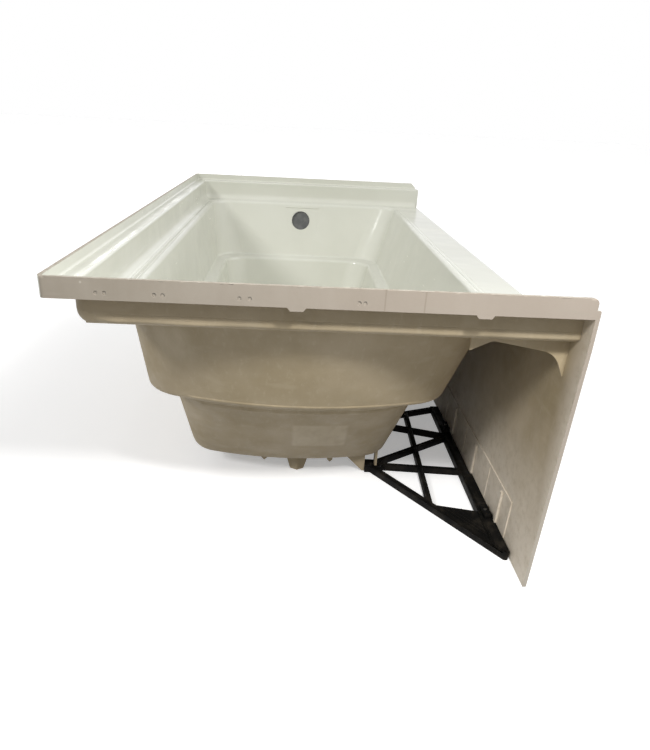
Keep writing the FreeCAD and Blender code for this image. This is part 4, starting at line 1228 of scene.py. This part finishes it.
@dataclass
class OverflowTrim(SubAssembly):
    """The pale lip round the overflow bore, the dark disc of painted shade behind it, the pad and the level
    line above it.
    """

    bore_centre: Point = (0.67552, 0.019, 0.3675)
    bore_axis: Point = (0.98013, 0.0, -0.19836)
    bore_radius: float = 0.030
    lip_width: float = 0.0046
    lip_height: float = 0.0026
    lip_foot: float = -0.001
    painted_shade_depth: float = 0.0042
    painted_shade_gap: float = 0.0001
    wall_rim: Pair = (0.684, 0.422)
    wall_shelf: Pair = (0.650, 0.254)
    wall_up: Point = (0.2, 0.0, 0.98)
    line_ends: Pair = (0.0735, -0.0465)
    line_height: float = 0.4085
    line_size: Pair = (0.0018, 0.0017)
    line_steps: int = 25
    pad_ends: Pair = (0.400, 0.305)
    pad_middle: float = 0.0135
    pad_half_widths: Pair = (0.056, 0.040)
    pad_proud: float = 0.0005
    pad_sink: float = 0.0001
    pad_soft: float = 0.008
    pad_top: Pair = (-0.002, 0.004)
    pad_fade: float = 0.04
    pad_gap: float = 0.0016
    pad_cell: float = 0.0025
    steps: int = 64

    @property
    def out(self) -> Vector:
        """The direction out of the wall into the basin."""
        return -Vector(self.bore_axis).normalized()

    def on_wall(self, across: float, height: float) -> Vector:
        """The point of the far wall at a place across and up.

        Args:
            across: The place along Y.
            height: The place along Z.

        Returns:
            The point.
        """
        (top_x, top_z), (low_x, low_z) = self.wall_rim, self.wall_shelf
        share = (top_z - height) / (top_z - low_z)
        return Vector((top_x + (low_x - top_x) * share, across, height))

    def pad_rise(self, across: float, down: float) -> float:
        """How much of its height the pad has at a place across and down from its top.

        Args:
            across: The distance from its middle.
            down: The distance from its top.

        Returns:
            The share.
        """
        length = self.pad_ends[0] - self.pad_ends[1]
        half = float(np.interp(down, (0.0, length), self.pad_half_widths))
        return (clamp_step(half - abs(across), -self.pad_soft / 2, self.pad_soft / 2)
                * clamp_step(down, *self.pad_top) * clamp_step(length - down, 0.0, self.pad_fade))

    def pad(self) -> Mesh:
        """The faint raised pad round the bore, wide at its top.

        Returns:
            The mesh.
        """
        high, low = self.pad_ends
        cell, reach = self.pad_cell, self.pad_half_widths[0] * 1.1
        rows = []
        for down in np.arange(-3 * cell, high - low + 4 * cell, cell).tolist():
            row = []
            for across in np.arange(-reach, reach, cell).tolist():
                point = self.on_wall(self.pad_middle + across, high - down)
                away = (point - Vector(self.bore_centre)).cross(Vector(self.bore_axis)).length
                off = self.pad_proud * self.pad_rise(across, down) - self.pad_sink
                row.append(None if away < self.bore_radius + self.pad_gap else point + self.out * off)
            rows.append(row)
        return grid_mesh("overflow_pad", rows)

    def line(self) -> Mesh:
        """The level line pressed above the bore.

        Returns:
            The mesh.
        """
        first, last = self.line_ends
        across = Vector(self.wall_up).normalized()
        stations = [(self.on_wall(y, self.line_height), across, self.out, float(first > y > last))
                    for y in np.linspace(first, last, self.line_steps).tolist()]
        return ribbon("overflow_line", stations, RIDGE, *self.line_size)

    def turned(self, profile: Profile, name: str) -> Mesh:
        """Turn a profile round the bore's axis.

        Args:
            profile: Points of radius and height off the wall.
            name: The mesh's name.

        Returns:
            The mesh, in the frame's own axes.
        """
        across = Vector((0.0, 1.0, 0.0))
        axes = Matrix((across, self.out.cross(across), self.out)).transposed().to_4x4()
        made = bmesh.new()
        rings = []
        for radius, height in profile:
            if radius:
                rings.append(ring(made, Vector(), [radius] * self.steps, height))
            else:
                rings.append([made.verts.new((0.0, 0.0, height))] * self.steps)
        for low, high in zip(rings, rings[1:]):
            bridge(made, low, high)
        bmesh.ops.recalc_face_normals(made, faces=made.faces[:])
        made.transform(Matrix.Translation(self.bore_centre) @ axes)
        return smooth(mesh_from(made, name), TURNED_DEGREES)

    def build(self) -> None:
        """Build the lip, the painted shade disc, the pad and the line."""
        inner, outer, rise = self.bore_radius, self.bore_radius + self.lip_width, self.lip_height
        lip = [(inner, self.lip_foot), (inner, rise * 0.6), (inner + 0.0005, rise),
               (inner + 0.0016, rise * 1.05), (outer - 0.0006, rise * 0.5), (outer, 0.0),
               (outer, self.lip_foot)]
        # painted shade: a dark disc closes the bore where only darkness would be seen through it
        rim, depth = inner - self.painted_shade_gap, -self.painted_shade_depth
        painted_hole_shade = [(rim, depth - 0.0004), (rim, depth), (inner * 0.6, depth - 0.0003), (0.0, depth - 0.0003)]
        skin = [self.finishes.skin]
        self.put(self.turned(lip, "overflow_lip"), skin, "shell")
        self.put(self.turned(painted_hole_shade, "overflow_painted_shade"), [self.finishes.painted_hole_shade], "shell")
        self.put(self.pad(), skin, "shell")
        self.put(self.line(), skin, "shell")


# ---- studio


@dataclass
class Studio:
    """The floor, the room, the lamps and the camera.

    Each of the far lamps gives its name, its direction, its strength and how wide it looks in degrees,
    and each of the long lamps its place across and its power in watts.
    """

    eye: Point = (-1.61756, 0.04486, 0.7052)
    right: Point = (-0.016428, -0.99883, 0.045487)
    down: Point = (-0.441208, -0.033583, -0.896776)
    ahead: Point = (0.897254, -0.034801, -0.44014)
    sensor: float = 36.0
    lens: float = 31.015
    shift: Pair = (0.02183, 0.0704)
    clip: Pair = (0.02, 200.0)
    floor_reach: float = 30.0
    floor_drop: float = -0.0004
    white: Colour = (1.0, 1.0, 1.0)
    sky: float = 0.41
    far_lamps: tuple[tuple[str, Point, float, float], ...] = (
        ("side_lamp", (0.56, -0.58, -0.59), 1.15, 12.0), ("fill_lamp", (0.10, 0.76, -0.64), 0.78, 40.0))
    near_at: Point = (-1.46, -0.40, 1.26)
    near_target: Point = (-0.65, 0.0, 0.35)
    near_size: float = 0.15
    near_power: float = 16.0
    long_at: Pair = (6.6, 2.7)
    long_size: Pair = (9.0, 0.12)
    long_lamps: tuple[Pair, ...] = ((2.9, 34.0), (1.9, 34.0), (0.2, 18.0), (-1.6, 16.0))

    def camera(self) -> None:
        """Stand the camera where the photograph was taken."""
        data = bpy.data.cameras.new("studio_camera")
        data.sensor_width = self.sensor
        data.lens = self.lens
        data.shift_x, data.shift_y = self.shift
        data.clip_start, data.clip_end = self.clip
        camera = bpy.data.objects.new("studio_camera", data)
        turn = Matrix((Vector(self.right), -Vector(self.down), -Vector(self.ahead))).transposed()
        camera.matrix_world = Matrix.Translation(self.eye) @ turn.to_4x4()
        bpy.context.scene.collection.objects.link(camera)
        bpy.context.scene.camera = camera

    def floor(self) -> None:
        """Lay the floor."""
        made = bmesh.new()
        bmesh.ops.create_grid(made, x_segments=8, y_segments=8, size=self.floor_reach)
        floor = bpy.data.objects.new("studio_floor", mesh_from(made, "studio_floor"))
        floor.location.z = self.floor_drop
        floor.data.materials.append(FloorFinish().material())
        bpy.context.scene.collection.objects.link(floor)

    def room(self) -> None:
        """Fill the room with plain white light, seen as white."""
        g = Graph(bpy.data.worlds.new("studio_room"))
        lit = g.node("Background", {"Color": self.white, "Strength": self.sky})
        plain = g.node("Background", {"Color": self.white})
        mixed = g.node("MixShader", {0: g.seen(), 1: lit.outputs[0], 2: plain.outputs[0]})
        bpy.context.scene.world = g.close(mixed, "OutputWorld")

    def hang(self, name: str, kind: str, way: Vector, at: Point = (0.0, 0.0, 0.0),
             **settings: object) -> Piece:
        """Hang a lamp.

        Args:
            name: The lamp's name.
            kind: SUN for one so far off that its light is parallel, AREA for a soft flat one.
            way: The direction of its light.
            at: Where it hangs.
            settings: The lamp's own settings.

        Returns:
            The hung lamp.
        """
        lamp = bpy.data.lights.new(name, kind)
        for setting, given in settings.items():
            setattr(lamp, setting, given)
        holder = bpy.data.objects.new(name, lamp)
        holder.location = at
        holder.rotation_mode = "QUATERNION"
        holder.rotation_quaternion = way.to_track_quat("-Z", "Y")
        bpy.context.scene.collection.objects.link(holder)
        return holder

    def build(self) -> None:
        """Set up the whole studio."""
        bpy.context.scene.view_settings.view_transform = "Standard"
        self.camera()
        self.floor()
        self.room()
        facing = Vector(self.near_target) - Vector(self.near_at)
        near = self.hang("near_lamp", "AREA", facing, self.near_at, size=self.near_size,
                         energy=self.near_power)
        near.visible_glossy = False
        for name, way, strength, spread in self.far_lamps:
            self.hang(name, "SUN", Vector(way), energy=strength, angle=math.radians(spread))
        (x, z), (along, wide) = self.long_at, self.long_size
        for number, (y, power) in enumerate(self.long_lamps, 1):
            self.hang(f"long_lamp_{number}", "AREA", Vector((0.0, 0.0, -z)), (x, y, z), shape="RECTANGLE",
                      size=along, size_y=wide, energy=power)


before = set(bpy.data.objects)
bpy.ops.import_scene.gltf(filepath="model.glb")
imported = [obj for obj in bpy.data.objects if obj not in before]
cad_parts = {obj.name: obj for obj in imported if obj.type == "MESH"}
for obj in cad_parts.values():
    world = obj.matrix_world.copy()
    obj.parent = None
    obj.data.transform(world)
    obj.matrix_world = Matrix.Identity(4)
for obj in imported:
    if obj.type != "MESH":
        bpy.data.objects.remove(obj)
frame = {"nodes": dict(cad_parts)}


def main() -> None:
    """Build the studio, then each sub-assembly in order, and report each of its pieces."""
    logging.basicConfig(level=logging.INFO, format="%(name)s: %(message)s", stream=sys.stdout)
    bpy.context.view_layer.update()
    nodes = frame["nodes"]
    Studio().build()
    finishes = Finishes()
    for sub_assembly in (Shell, Apron, FloorFrames, OverflowTrim):
        made = sub_assembly(nodes, finishes)
        made.build()
        for piece in made.pieces:
            LOG.info("%s: %d faces", piece.name, len(piece.data.polygons))


if __name__ == "__main__":
    main()
